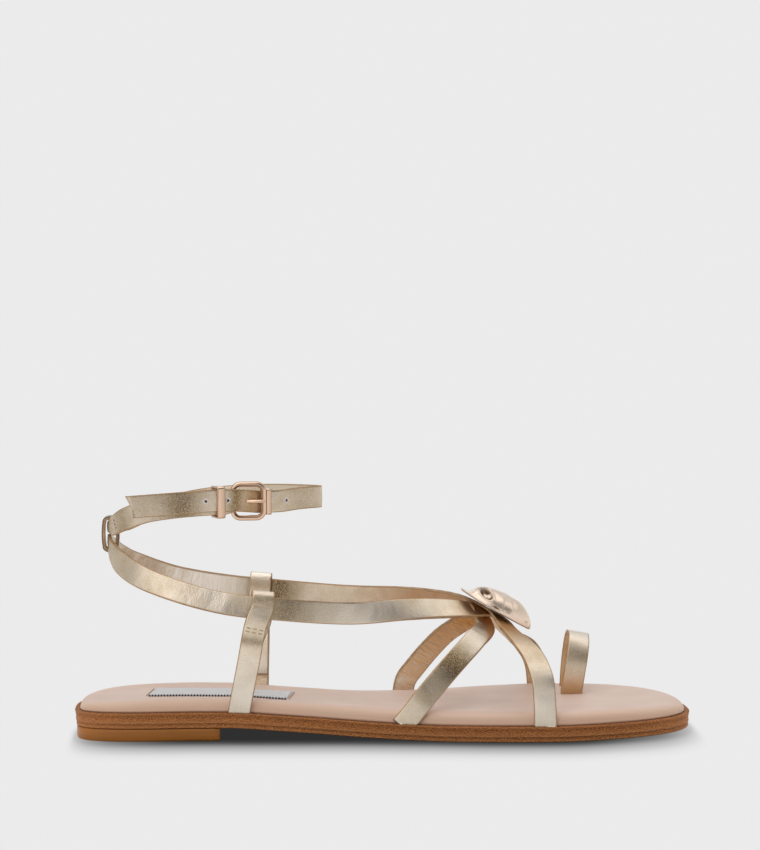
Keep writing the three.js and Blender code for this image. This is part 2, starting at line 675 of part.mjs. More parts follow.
const tailAlong = direction(buckleHeading + tailTurn, 0);
const tailOut = direction(buckleHeading + tailTurn - 90, 0);
const tailStart = bucklePlace(keeperAt - 2, strapGap, tailRise);
const tailRow = (share) => ({
  point: tailStart.clone().addScaledVector(tailAlong, -share * tailLength).add(vec(0, 0, -share * tailDrop)),
  face: tailOut,
});
const ankleStrapRows = [
  ...buckleEndRows,
  ...ankleLateralRows.map(ankleRow),
  ...ankleMedialRows.map(ankleRow),
  buckleRow(buckleLength + 8, 0),
  buckleRow(buckleLength + 3.5, -slack),
  buckleRow(buckleLength, -slack),
  buckleRow(buckleLength * 0.5, strapGap * 0.5, buckleOut, tailRise * 0.4),
  buckleRow(0, strapGap, buckleOut, tailRise * 0.8),
  { point: tailStart, face: buckleOut },
  tailRow(0.33),
  tailRow(0.66),
  tailRow(1),
];

// Buckle

// The frame leans out from the hinge bar, under the strap's end, to the front bar over the strap.
const frameRise = tailRise * 0.4; // keeps the rails clear of the raised loose end
const hinge = bucklePlace(0, -barReach, frameRise);
const frontBar = bucklePlace(buckleLength, barReach + slack, frameRise);
const frameAlong = frontBar.clone().sub(hinge).normalize();
const frameUp = vec(0, 0, 1).addScaledVector(frameAlong, -frameAlong.z).normalize();
const frameOut = frameAlong.clone().cross(frameUp);
const frameReach = frontBar.distanceTo(hinge);

const circleShape = (radius) => {
  const shape = new THREE.Shape();
  shape.absarc(0, 0, radius, 0, Math.PI * 2);
  return shape;
};

// Local axes as a matrix: x along the frame, y up and z outwards.
const frameMatrix = new THREE.Matrix4().makeBasis(frameAlong, frameUp, frameOut).setPosition(hinge);

// Closed tube round a rounded rectangle in the frame's plane.
function buckleFrame() {
  const halfHeight = buckleHeight / 2;
  const corners = [
    [frameReach - buckleCorner, -halfHeight + buckleCorner, -90],
    [frameReach - buckleCorner, halfHeight - buckleCorner, 0],
    [buckleCorner, halfHeight - buckleCorner, 90],
    [buckleCorner, -halfHeight + buckleCorner, 180],
  ];
  const cornerSteps = 5;
  const line = corners.flatMap(([x, y, start]) => [...Array(cornerSteps + 1).keys()].map((i) => {
    const angle = radians(start + (90 * i) / cornerSteps);
    return { x, y, angle };
  }));
  const points = line.flatMap(({ x, y, angle }) => [...Array(roundSteps).keys()].map((k) => {
    const round = (2 * Math.PI * k) / roundSteps;
    const reach = buckleCorner + (wire / 2) * Math.cos(round);
    return vec(x + reach * Math.cos(angle), y + reach * Math.sin(angle), (wire / 2) * Math.sin(round));
  }));
  const triangles = line.flatMap((_, i) => [...Array(roundSteps).keys()].flatMap((k) => {
    const next = ((i + 1) % line.length) * roundSteps;
    const here = i * roundSteps;
    const [a, b, c, d] = [here + k, next + k, next + ((k + 1) % roundSteps), here + ((k + 1) % roundSteps)];
    return [[a, b, c], [a, c, d]];
  }));
  return meshGeometry(points, triangles).applyMatrix4(frameMatrix);
}

// Prong: a ring round the hinge bar and a flat pin that rests on the front bar's outer side.
function buckleProng(grow) {
  const bore = wire / 2 + clearance;
  const ringWall = 0.9;
  const tipOut = wire / 2 + clearance + prongWidth / 2;
  const slope = Math.atan2(tipOut, frameReach);
  const halfPin = prongWidth / 2 + grow;
  const radius = bore + ringWall + grow;
  const reach = Math.hypot(frameReach, tipOut) + wire * 0.4 + grow;
  const rootAngle = Math.asin(Math.min(halfPin / radius, 0.9));
  const shape = new THREE.Shape();
  shape.absarc(0, 0, radius, rootAngle, 2 * Math.PI - rootAngle);
  shape.lineTo(reach - halfPin, -halfPin);
  shape.absarc(reach - halfPin, 0, halfPin, -Math.PI / 2, Math.PI / 2);
  if (grow === 0) {
    const hole = new THREE.Path();
    hole.absarc(0, 0, bore, 0, Math.PI * 2);
    shape.holes.push(hole);
  }
  const depth = prongWidth + 2 * grow;
  const geometry = new THREE.ExtrudeGeometry(shape, { depth, bevelEnabled: false, curveSegments: 10 });
  geometry.translate(0, 0, -depth / 2).rotateX(Math.PI / 2).rotateY(-slope);
  return geometry.applyMatrix4(frameMatrix);
}

// Rectangular ring of sheet metal round the strap, with its middle on the buckle's stretch.
function metalBand({ along, out, up, innerDepth, innerHeight, width, wall }) {
  const outline = (halfDepth, halfHeight, Kind) => {
    const shape = new Kind();
    shape.moveTo(-halfDepth, -halfHeight);
    shape.lineTo(halfDepth, -halfHeight);
    shape.lineTo(halfDepth, halfHeight);
    shape.lineTo(-halfDepth, halfHeight);
    shape.closePath();
    return shape;
  };
  const shape = outline(innerDepth / 2 + wall, innerHeight / 2 + wall, THREE.Shape);
  shape.holes.push(outline(innerDepth / 2, innerHeight / 2, THREE.Path));
  const geometry = new THREE.ExtrudeGeometry(shape, { depth: width, bevelEnabled: false });
  geometry.translate(0, 0, -width / 2);
  const turn = new THREE.Matrix4().makeBasis(buckleOut, vec(0, 0, 1), buckleAlong.clone().negate());
  return geometry.applyMatrix4(turn.setPosition(bucklePlace(along, out, up)));
}

// Heel tab

// Ring of strap at the back: the ankle strap passes through its upper end and the long strap
// hangs in its lower end. Its wall runs round both, one clearance off.
function heelTab() {
  const upper = ankleRow(ankleMedialRows[0]).point;
  const lower = longRow(heelStrapRow).point;
  const upperHalf = (ankleMedialRows[0].wide * strapWidth) / 2;
  const lowerHalf = (heelStrapRow.wide * strapWidth) / 2;
  const reach = strapThickness / 2 + clearance + strapThickness / 2;
  const room = 1; // extra room inside, because both straps curve away from the back
  const top = upper.z + upperHalf + clearance + strapThickness / 2 + room * 0.6;
  const bottom = lower.z - lowerHalf - clearance - strapThickness / 2 - room * 1.75;
  const height = top - bottom;
  const front = Math.max(upper.x, lower.x) + reach + room;
  const back = Math.min(upper.x, lower.x) - reach - slack;
  const bulge = 0.4;
  const line = [
    vec(back + 0.2, 0, bottom + 0.8),
    vec(back - bulge * 0.4, 0, bottom + 0.2 * height),
    vec(back - bulge, 0, bottom + 0.45 * height),
    vec(back - bulge * 0.3, 0, bottom + 0.82 * height),
    vec(back + 0.3, 0, top - 0.6),
    vec((back + front) / 2, 0, top + 0.2),
    vec(front - 0.1, 0, top - 0.6),
    vec(front + 0.2, 0, bottom + 0.8 * height),
    vec(front + 0.8, 0, bottom + 0.45 * height),
    vec(front + 0.5, 0, bottom + 0.2 * height),
    vec(front + 0.2, 0, bottom + 0.7),
    vec((back + front) / 2 + 0.2, 0, bottom - 0.2),
  ];
  const curve = new THREE.CatmullRomCurve3(line, true, 'centripetal');
  const steps = line.length * 4;
  const points = [];
  const triangles = [];
  for (let k = 0; k < steps; k += 1) {
    const point = curve.getPoint(k / steps);
    const tangent = curve.getTangent(k / steps);
    const outward = vec(-tangent.z, 0, tangent.x);
    for (const [s, t] of [[-1, -1], [1, -1], [1, 1], [-1, 1]]) {
      points.push(point.clone().addScaledVector(outward, (t * strapThickness) / 2)
        .add(vec(0, (s * tabWidth) / 2, 0)));
    }
  }
  for (let k = 0; k < steps; k += 1) {
    const next = (k + 1) % steps;
    for (let corner = 0; corner < 4; corner += 1) {
      const a = 4 * k + corner;
      const b = 4 * k + ((corner + 1) % 4);
      const c = 4 * next + ((corner + 1) % 4);
      const d = 4 * next + corner;
      triangles.push([a, b, c], [a, c, d]);
    }
  }
  return meshGeometry(points, triangles);
}

// Ornament

// Height of the nugget along its middle: share of its length from the upper end, and share of its
// height above the base plate.
const domeRows = [
  { at: 0, up: 0 },
  { at: 0.1, up: 0 },
  { at: 0.125, up: 0.16 },
  { at: 0.15, up: 0.38 },
  { at: 0.19, up: 0.56 },
  { at: 0.253, up: 0.73 },
  { at: 0.347, up: 0.88 },
  { at: 0.43, up: 0.96 },
  { at: 0.534, up: 1 },
  { at: 0.686, up: 1 },
  { at: 0.784, up: 0.89 },
  { at: 0.863, up: 0.71 },
  { at: 0.928, up: 0.486 },
  { at: 0.972, up: 0.26 },
  { at: 1, up: 0 },
];

// Domed nugget over the crossing: an oval base plate that shows at the upper end, and a dome whose
// height follows the table along it and a superellipse across it.
function ornament() {
  const rings = 11;
  const around = 36;
  const halfAcross = (angle) => {
    const taper = 1 - 0.08 * Math.cos(angle) - 0.06 * Math.cos(2 * angle);
    return (ornamentWidth / 2) * taper * Math.sin(angle);
  };
  const outline = (angle) => vec((ornamentLength * Math.cos(angle)) / 2, halfAcross(angle), 0);
  const dome = (ring, point) => {
    if (ring === 1) return ornamentRim;
    const along = point.x / ornamentLength;
    const reach = halfAcross(Math.acos(2 * along));
    const across = Math.min(1, Math.abs(point.y) / reach);
    const body = Math.pow(1 - Math.pow(across, 2.6), 0.55);
    return ornamentRim + (ornamentHeight - ornamentRim) * smooth(domeRows, (row) => row.up, along + 0.5) * body;
  };
  const points = [vec(0, 0, 0), vec(0, 0, dome(0, vec(0, 0, 0)))];
  const loops = [0.5, 1].map((ring) => ({ ring, height: () => 0 }));
  for (let i = 0; i < rings; i += 1) {
    const ring = Math.sqrt(1 - i / rings);
    loops.push({ ring, height: (point) => dome(ring, point) });
  }
  for (const { ring, height } of loops) {
    for (let k = 0; k < around; k += 1) {
      const point = outline((2 * Math.PI * k) / around).multiplyScalar(ring);
      point.z = height(point);
      points.push(point);
    }
  }
  const index = (loop, k) => 2 + loop * around + (k % around);
  const triangles = [];
  for (let k = 0; k < around; k += 1) {
    triangles.push([0, index(0, k + 1), index(0, k)]);
    triangles.push([1, index(loops.length - 1, k), index(loops.length - 1, k + 1)]);
    for (let loop = 0; loop + 1 < loops.length; loop += 1) {
      const [a, b] = [index(loop, k), index(loop, k + 1)];
      const [c, d] = [index(loop + 1, k + 1), index(loop + 1, k)];
      triangles.push([a, b, c], [a, c, d]);
    }
  }
  const seat = crossingRow(0, 0, 0).point
    .addScaledVector(crossingFace, strapThickness / 2 + clearance + slack);
  const downhill = direction(0, -instepSlope);
  seat.addScaledVector(downhill, ornamentShift);
  const basis = new THREE.Matrix4().makeBasis(downhill, vec(0, 1, 0), crossingFace);
  return meshGeometry(points, triangles).applyMatrix4(basis.setPosition(seat));
}

// Label on the heel seat: a thin patch that follows the footbed's face.
function sockLabel() {
  const steps = 10;
  const middle = vec(labelAt, -labelOut, 0);
  const along = direction(labelTurn, 0);
  const across = direction(labelTurn + 90, 0);
  const points = [];
  for (let k = 0; k <= steps; k += 1) {
    const base = middle.clone().addScaledVector(along, labelLength * (k / steps - 0.5));
    for (const side of [-1, 1]) {
      for (const layer of [0, 1]) {
        const point = base.clone().addScaledVector(across, (side * labelWidth) / 2);
        point.z = footbedHeight(point.x) - dishAt(point.x) + clearance + layer * labelThickness;
        points.push(point);
      }
    }
  }
  const triangles = [];
  const quad = (a, b, c, d) => triangles.push([a, b, c], [a, c, d]);
  for (let k = 0; k < steps; k += 1) {
    const [a, b] = [4 * k, 4 * (k + 1)];
    quad(a, b, b + 1, a + 1);
    quad(a + 1, b + 1, b + 3, a + 3);
    quad(a + 3, b + 3, b + 2, a + 2);
    quad(a + 2, b + 2, b, a);
  }
  const end = 4 * steps;
  quad(0, 1, 3, 2);
  quad(end, end + 2, end + 3, end + 1);
  return meshGeometry(points, triangles);
}

// Joins and cuts

const longStrap = toSolid(strapGeometry(longStrapRows));
const rearStrap = toSolid(strapGeometry(rearStrapRows));
const upperStraps = longStrap.add(rearStrap).subtract(belowRim);
const lateralLoop = toSolid(strapGeometry(lateralLoopRows)).subtract(belowRim);
const medialLoop = toSolid(strapGeometry(medialLoopRows)).subtract(belowRim);
const toeLoop = toSolid(strapGeometry(toeLoopRows)).subtract(belowRim);

const strapRooms = [longStrapRows, rearStrapRows, lateralLoopRows, medialLoopRows, toeLoopRows]
  .map((rows) => toSolid(strapGeometry(rows, { grow: clearance })));
const footbed = strapRooms.reduce((solid, room) => solid.subtract(room), toSolid(footbedWhole));

const prongRoom = toSolid(buckleProng(clearance));
const ankleStrap = toSolid(strapGeometry(ankleStrapRows, { slant: tailSlant })).subtract(prongRoom);

const keeper = metalBand({
  along: keeperAt,
  out: 0,
  up: tailRise / 2,
  innerDepth: 3 * strapThickness + 4 * clearance + 6 * slack,
  innerHeight: strapWidth + tailRise + 2 * clearance + slack,
  width: keeperWidth,
  wall: keeperWall,
});
const guide = metalBand({
  along: buckleLength + wire / 2 + clearance + guideWidth / 2 + 0.2,
  out: -slack / 2,
  up: 0,
  innerDepth: strapThickness + 2 * clearance + 2 * slack,
  innerHeight: strapWidth + 2 * clearance,
  width: guideWidth,
  wall: guideWall,
});

// Materials and scene

const metallicLeather = { color: 0xc9b48c, roughness: 0.42, metalness: 0.55 };
const gold = { color: 0xd8a878, roughness: 0.16, metalness: 1 };
const paleGold = { color: 0xd9c3a0, roughness: 0.12, metalness: 1 };

const group = new THREE.Group();
function addPiece(name, geometry, look) {
  const mesh = new THREE.Mesh(geometry, new THREE.MeshStandardMaterial(look));
  mesh.name = name;
  group.add(mesh);
}

addPiece('outsole', outsole, { color: 0x7a4628, roughness: 0.75, metalness: 0 });
addPiece('heel_block', heelBlock, { color: 0x8e5526, roughness: 0.45, metalness: 0 });
addPiece('footbed', toGeometry(footbed), { color: 0xd9b49c, roughness: 0.6, metalness: 0 });
addPiece('sock_label', sockLabel(), { color: 0xd9d6d2, roughness: 0.7, metalness: 0 });
addPiece('upper_straps', toGeometry(upperStraps), metallicLeather);
addPiece('side_loop_lateral', toGeometry(lateralLoop), metallicLeather);
addPiece('side_loop_medial', toGeometry(medialLoop), metallicLeather);
addPiece('toe_loop', toGeometry(toeLoop), metallicLeather);
addPiece('heel_tab', heelTab(), metallicLeather);
addPiece('ankle_strap', toGeometry(ankleStrap), metallicLeather);
addPiece('buckle_frame', buckleFrame(), gold);
addPiece('buckle_prong', buckleProng(0), gold);
addPiece('strap_keeper', keeper, gold);
addPiece('strap_guide', guide, gold);
addPiece('ornament', ornament(), paleGold);

const widest = (side) => Math.max(...stations.map((x) => halfWidth(x, side)));
group.position.set(-soleLength / 2, (widest(lateral) - widest(medial)) / 2, 0);

export default group;
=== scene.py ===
"""Flat strappy sandal for a right foot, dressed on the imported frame.

The tables hold the same shapes as the solids, in millimetres, with x measured from the heel's
rearmost point, y to the inner side of the foot and z up from the floor. add_piece() moves every
point to the frame: the origin is the middle of the sole's length and width, in metres.
"""

import math

import bmesh
import bpy
import numpy as np
from mathutils import Matrix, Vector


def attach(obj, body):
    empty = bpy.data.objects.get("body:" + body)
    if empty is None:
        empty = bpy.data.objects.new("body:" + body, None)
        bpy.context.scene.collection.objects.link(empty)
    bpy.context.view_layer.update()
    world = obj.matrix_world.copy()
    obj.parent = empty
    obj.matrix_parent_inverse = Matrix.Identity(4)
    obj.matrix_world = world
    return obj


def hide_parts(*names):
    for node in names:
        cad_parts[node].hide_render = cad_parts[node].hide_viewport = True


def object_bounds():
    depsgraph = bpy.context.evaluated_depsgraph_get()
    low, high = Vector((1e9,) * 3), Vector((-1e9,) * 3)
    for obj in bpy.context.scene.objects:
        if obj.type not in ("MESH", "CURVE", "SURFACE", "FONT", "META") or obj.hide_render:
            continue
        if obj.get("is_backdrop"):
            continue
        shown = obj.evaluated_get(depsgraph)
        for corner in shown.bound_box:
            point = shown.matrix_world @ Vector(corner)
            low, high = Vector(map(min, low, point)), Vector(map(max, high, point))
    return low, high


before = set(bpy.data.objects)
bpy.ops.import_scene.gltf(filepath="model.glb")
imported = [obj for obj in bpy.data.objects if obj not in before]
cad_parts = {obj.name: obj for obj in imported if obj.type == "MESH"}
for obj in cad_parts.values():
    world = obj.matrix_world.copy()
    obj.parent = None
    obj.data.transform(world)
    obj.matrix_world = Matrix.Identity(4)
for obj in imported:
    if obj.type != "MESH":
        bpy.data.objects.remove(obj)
cad_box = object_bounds()

MM = 0.001

# Sole sizes
SOLE_LENGTH = 252.0
BALL_WIDTH = 89.2
WAIST_WIDTH = 53.5
HEEL_WIDTH = 55.3
HEEL_ROUND_LENGTH = 40.0
TOE_ROUND_LENGTH = 66.0
HEEL_ROUNDNESS = 3.0
TOE_ROUNDNESS = 2.55
HEEL_TIP_OUT = 6.0
TOE_TIP_OUT = 5.0
OUTSOLE_THICKNESS = 6.3
GROOVE_DEPTH = 0.35
SIDE_TAPER = 0.6
HEEL_LIFT = 5.3
HEEL_BLOCK_LENGTH = 59.2
HEEL_BLOCK_INSET = 0.2
HEEL_BLOCK_ROUND = 1.3
TOE_SPRING = 0.8
FOOTBED_THICKNESS = 5.2
FOOTBED_LEDGE = 2.3
FOOTBED_EDGE = 5.5
SEAT_DISH = 1.3

# Strap sizes
STRAP_WIDTH = 9.0
STRAP_THICKNESS = 1.4
TAB_WIDTH = 6.4
CLEARANCE = 0.3
SLACK = 0.2
STRAP_CROWN = 0.10
INSTEP_RISE = 35.5
INSTEP_SLOPE = 31.0
CROSSING_AT = SOLE_LENGTH * 0.6825
HEEL_SETBACK = 14.8
HEEL_RISE = 27.3
SIDE_SPREAD = 62.0
ANKLE_RISE = 79.0
ANKLE_BACK_DROP = 11.2
ANKLE_LOOP_LENGTH = 88.0
ANKLE_LOOP_WIDTH = 52.0
TAIL_LENGTH = 33.7
TAIL_RISE = 1.5
TAIL_DROP = 1.8
TAIL_SLANT = 4.0
TOE_LOOP_HEIGHT = 23.4
TOE_LOOP_WIDTH = 22.4
TOE_LOOP_AT = SOLE_LENGTH * 0.815
TOE_LOOP_OUT = 19.2
LOOP_FOLD_DEPTH = 39.0
LOOP_HELD_AT = 0.392  # share of the way from the heel to the crossing
LOOP_SEWN_AT = 0.37  # share of the loop's strap from its foot
HOLE_STEP = 8.9  # between two punched holes
HOLE_SHIFT = 1.0  # from the prong towards the loose end
HOLE_RADIUS = 0.75
HOLES = (-2, -1, 1, 2)  # counted in steps from the one that the prong sits in

# Metal sizes
WIRE = 2.2
BUCKLE_LENGTH = 11.5
BUCKLE_HEIGHT = 13.6
BUCKLE_CORNER = 3.0
PRONG_WIDTH = 1.8
KEEPER_WIDTH = 3.3
KEEPER_WALL = 0.8
GUIDE_WIDTH = 2.2
GUIDE_WALL = 0.5
ORNAMENT_LENGTH = 33.0
ORNAMENT_WIDTH = 20.0
ORNAMENT_HEIGHT = 8.0
ORNAMENT_PLATE = 0.9
ORNAMENT_SHIFT = 0.3

# Label sizes
LABEL_LENGTH = 57.0
LABEL_WIDTH = 19.0
LABEL_THICKNESS = 0.45
LABEL_AT = 59.5
LABEL_OUT = 0.8
LABEL_TURN = -8.5

# Small sizes of the finish
RIPPLE_WAVE = 23.0
FOLD_WAVE = 3.4
FOLD_DEPTH = 0.16
HEEL_GAP = 0.12  # hairline between heel block and outsole
SLIT_REACH = (6.5, 1.3)  # of the dents round the toe loop's slits, along and across
SLIT_DENT = 0.35
TRIM_LIFT = 0.1  # of holes and stitches over a strap's face

# Steps of the fine meshes
OUTLINE_POINTS = 520
OUTLINE_INSET = 0.06  # keeps the finer outline inside the faceted one's box
STRAP_STEP = 0.7
TAB_STEPS = 110
HOLE_SIDES = 28
PRONG_STEPS = 26
ORNAMENT_STEPS = 300
ORNAMENT_RINGS = 130

LATERAL = -1
BOTH = 0
MEDIAL = 1


# Curve helpers


def smooth(rows, column, at):
    """Smooth value of a table's column: a cubic whose slope is flat at a turning point and
    otherwise the harmonic mean of the two neighbouring slopes. Column 0 is the station."""
    table = np.asarray(rows, float)
    x, y = table[:, 0], table[:, column]
    slopes = np.diff(y) / np.diff(x)
    before, after = slopes[:-1], slopes[1:]
    turning = before * after <= 0
    total = np.where(turning, 1.0, before + after)
    tangents = np.concatenate([slopes[:1], np.where(turning, 0.0, 2 * before * after / total), slopes[-1:]])
    at = np.clip(np.asarray(at, float), x[0], x[-1])
    i = np.clip(np.searchsorted(x, at, side="right") - 1, 0, len(x) - 2)
    span = x[i + 1] - x[i]
    u = (at - x[i]) / span
    return (
        (2 * u**3 - 3 * u**2 + 1) * y[i]
        + (u**3 - 2 * u**2 + u) * span * tangents[i]
        + (3 * u**2 - 2 * u**3) * y[i + 1]
        + (u**3 - u**2) * span * tangents[i + 1]
    )


def unit(vectors):
    """Vectors scaled to length one."""
    return vectors / np.linalg.norm(vectors, axis=-1, keepdims=True)


def direction(heading, lean):
    """Direction from a heading (0 toe, 90 medial, -90 lateral, 180 heel) and a lean upwards."""
    flat = math.cos(math.radians(lean))
    turn = math.radians(heading)
    return np.array([flat * math.cos(turn), flat * math.sin(turn), math.sin(math.radians(lean))])


def ease(value, low, high):
    """0 below low, 1 above high, and a smooth step between."""
    u = np.clip((value - low) / (high - low), 0, 1)
    return u * u * (3 - 2 * u)


def bump(value, middle, reach):
    """A round bump of height one at the middle."""
    return np.exp(-(((value - middle) / reach) ** 2))


def ripple(values, seed, wave):
    """A slow random curve between about -1 and 1: three sines whose phases come from the seed."""
    phases = np.random.default_rng(seed).uniform(0, 2 * math.pi, 3)
    total = sum(
        math.sqrt(1 / (k + 1)) * np.sin(2 * math.pi * values * (k + 1) * 0.83 / wave + phases[k])
        for k in range(3)
    )
    return total / 2.0


# Sole shape

# Station, then the shares of the named width to the lateral and the medial side.
OUTLINE_ROWS = [
    (0.0, HEEL_WIDTH * 0.488, HEEL_WIDTH * 0.512),
    (0.17, HEEL_WIDTH * 0.488, HEEL_WIDTH * 0.512),
    (0.3, WAIST_WIDTH * 0.56, WAIST_WIDTH * 0.44),
    (0.42, WAIST_WIDTH * 0.611, WAIST_WIDTH * 0.4),
    (0.55, BALL_WIDTH * 0.42, BALL_WIDTH * 0.332),
    (0.68, BALL_WIDTH * 0.484, BALL_WIDTH * 0.45),
    (0.78, BALL_WIDTH * 0.506, BALL_WIDTH * 0.494),
    (0.88, BALL_WIDTH * 0.49, BALL_WIDTH * 0.478),
    (1.0, BALL_WIDTH * 0.488, BALL_WIDTH * 0.476),
]
# Station, then the offset to the lateral side of the line that the rounded ends close towards.
TIP_ROWS = [(0.0, HEEL_TIP_OUT), (0.17, 0.0), (0.72, 0.0), (1.0, TOE_TIP_OUT)]
# Station, then the height of the outsole's underside.
UNDERSIDE_ROWS = [
    (0.0, HEEL_LIFT),
    (0.242, HEEL_LIFT),
    (0.357, HEEL_LIFT * 0.67),
    (0.476, HEEL_LIFT * 0.245),
    (0.556, HEEL_LIFT * 0.06),
    (0.6, 0.0),
    (0.76, 0.0),
    (0.82, TOE_SPRING * 0.06),
    (0.88, TOE_SPRING * 0.27),
    (0.94, TOE_SPRING * 0.6),
    (1.0, TOE_SPRING),
]
# Station, then the shares of the seat's dish and of the footbed's thickness.
FOOTBED_ROWS = [
    (0.0, 0.5, 0.5),
    (0.03, 0.6, 0.66),
    (0.08, 0.85, 0.86),
    (0.14, 1.0, 0.97),
    (0.2, 1.0, 1.0),
    (0.32, 0.85, 1.0),
    (0.42, 0.4, 1.0),
    (0.52, 0.0, 1.0),
    (0.84, 0.0, 0.98),
    (0.93, 0.0, 0.84),
    (1.0, 0.0, 0.55),
]


def underside(x):
    """Height of the outsole's underside: the table's smooth value at the station."""
    return smooth(UNDERSIDE_ROWS, 1, x / SOLE_LENGTH)


def ledge(x):
    """Height of the outsole's rim: the underside plus the outsole's thickness."""
    return underside(x) + OUTSOLE_THICKNESS


def footbed_top(x):
    """Height of the footbed's top before dish and rounding: ledge, clearance and thickness."""
    return ledge(x) + CLEARANCE + FOOTBED_THICKNESS


def seat_dish(x):
    """Depth of the heel seat's dish: the table's share at the station times the dish."""
    return SEAT_DISH * smooth(FOOTBED_ROWS, 1, x / SOLE_LENGTH)


def footbed_thickness(x):
    """Thickness of the footbed: the table's share at the station times the full one."""
    return FOOTBED_THICKNESS * smooth(FOOTBED_ROWS, 2, x / SOLE_LENGTH)


def half_width(x, side):
    """Distance of the sole's edge from the middle line, rounded off by a superellipse at the ends."""
    x = np.asarray(x, float)
    share = smooth(OUTLINE_ROWS, 1 if side == LATERAL else 2, x / SOLE_LENGTH)
    from_heel = np.maximum(0, 1 - x / HEEL_ROUND_LENGTH)
    from_toe = np.maximum(0, 1 - (SOLE_LENGTH - x) / TOE_ROUND_LENGTH)
    rounding = np.maximum(0, 1 - from_heel**HEEL_ROUNDNESS) ** (1 / HEEL_ROUNDNESS)
    rounding = rounding * np.maximum(0, 1 - from_toe**TOE_ROUNDNESS) ** (1 / TOE_ROUNDNESS)
    tip = -side * smooth(TIP_ROWS, 1, x / SOLE_LENGTH)
    return tip + (share - tip) * rounding


def outline():
    """The sole's outline, evenly spaced from the heel's tip along the lateral side and back along
    the medial side, with the outward direction at each point."""
    share = 0.5 - 0.5 * np.cos(np.pi * np.linspace(0, 1, 3000))
    x = SOLE_LENGTH * (0.5 - 0.5 * np.cos(np.pi * share))
    there = np.stack([x, -half_width(x, LATERAL)], 1)
    back = np.stack([x, half_width(x, MEDIAL)], 1)[::-1]
    line = np.concatenate([there, back[1:]])
    length = np.concatenate([[0], np.cumsum(np.linalg.norm(np.diff(line, axis=0), axis=1))])
    at = np.linspace(0, length[-1], OUTLINE_POINTS, endpoint=False)
    points = np.stack([np.interp(at, length, line[:, k]) for k in (0, 1)], 1)
    ahead = np.roll(points, -2, 0) - np.roll(points, 2, 0)
    out = unit(np.stack([ahead[:, 1], -ahead[:, 0]], 1))
    return points, out


EDGE, EDGE_OUT = outline()
EDGE = EDGE - EDGE_OUT * OUTLINE_INSET
WIDEST = [float(np.max(half_width(np.linspace(0, SOLE_LENGTH, 800), side))) for side in (LATERAL, MEDIAL)]
SHIFT = np.array([-SOLE_LENGTH / 2, (WIDEST[0] - WIDEST[1]) / 2, 0.0])


def edge_point(x, side, inset):
    """Point on the sole's edge at a station, moved inwards, and the outward direction there."""
    step = 0.4
    rise = float(half_width(x + step, side) - half_width(x - step, side))
    along = unit(np.array([2 * step, side * rise, 0.0]))
    out = np.array([-side * along[1], side * along[0], 0.0])
    point = np.array([x, side * float(half_width(x, side)), 0.0]) - out * inset
    return point, out


# Mesh helpers


def add_piece(name, points, faces, materials, node, slots=0, uv=None, paint=None, weld=True):
    """Makes a mesh object from points in millimetres, in the place that the frame gives it.

    materials holds names from MATERIALS, and slots the index of one of them per face. uv holds a
    pair per point in millimetres, and paint named values per point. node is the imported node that
    the piece stands for.
    """
    mesh = bpy.data.meshes.new(name)
    place = (np.asarray(points, float) + SHIFT) * MM
    mesh.from_pydata(place.tolist(), [], [list(map(int, face)) for face in faces])
    for key in materials:
        mesh.materials.append(MATERIALS[key])
    mesh.polygons.foreach_set("material_index", (np.zeros(len(faces)) + slots).astype(np.int32))
    mesh.polygons.foreach_set("use_smooth", np.ones(len(faces), bool))
    if uv is not None:
        layer = mesh.uv_layers.new(name="along_across")
        corner = np.empty(len(mesh.loops), np.int32)
        mesh.loops.foreach_get("vertex_index", corner)
        layer.data.foreach_set("uv", (np.asarray(uv, float)[corner] * MM).ravel())
    for key, values in (paint or {}).items():
        attribute = mesh.attributes.new(key, "FLOAT", "POINT")
        attribute.data.foreach_set("value", np.asarray(values, np.float32))
    mesh.update()
    piece = bpy.data.objects.new(name, mesh)
    bpy.context.collection.objects.link(piece)
    if weld:
        weld_mesh(mesh)
    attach(piece, "root")
    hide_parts(node)
    return piece


def weld_mesh(mesh):
    """Joins points that lie on each other and turns the faces outwards."""
    work = bmesh.new()
    work.from_mesh(mesh)
    bmesh.ops.remove_doubles(work, verts=work.verts, dist=2e-6)
    bmesh.ops.recalc_face_normals(work, faces=work.faces)
    work.to_mesh(mesh)
    work.free()


def grid_faces(rows, columns, closed_rows=False, closed_columns=False):
    """Quads of a grid of points numbered row by row."""
    r = np.arange(rows if closed_rows else rows - 1)
    c = np.arange(columns if closed_columns else columns - 1)
    r, c = [v.ravel() for v in np.meshgrid(r, c, indexing="ij")]
    r2, c2 = (r + 1) % rows, (c + 1) % columns
    return np.stack([r * columns + c, r * columns + c2, r2 * columns + c2, r2 * columns + c], 1)


def catmull_rom(points, share):
    """Centripetal Catmull-Rom curve through the points, open, at shares of the row count."""
    points = np.asarray(points, float)
    ends = np.concatenate([[2 * points[0] - points[1]], points, [2 * points[-1] - points[-2]]])
    last = len(points) - 1
    i = np.clip(np.floor(share * last).astype(int), 0, last - 1)
    u = (share * last - i)[:, None]
    p0, p1, p2, p3 = ends[i], ends[i + 1], ends[i + 2], ends[i + 3]
    d0, d1, d2 = [
        np.maximum(np.linalg.norm(b - a, axis=1, keepdims=True), 1e-6) ** 0.5
        for a, b in ((p0, p1), (p1, p2), (p2, p3))
    ]
    t1 = ((p1 - p0) / d0 - (p2 - p0) / (d0 + d1) + (p2 - p1) / d1) * d1
    t2 = ((p2 - p1) / d1 - (p3 - p1) / (d1 + d2) + (p3 - p2) / d2) * d1
    return p1 + t1 * u + (-3 * p1 + 3 * p2 - 2 * t1 - t2) * u**2 + (2 * p1 - 2 * p2 + t1 + t2) * u**3


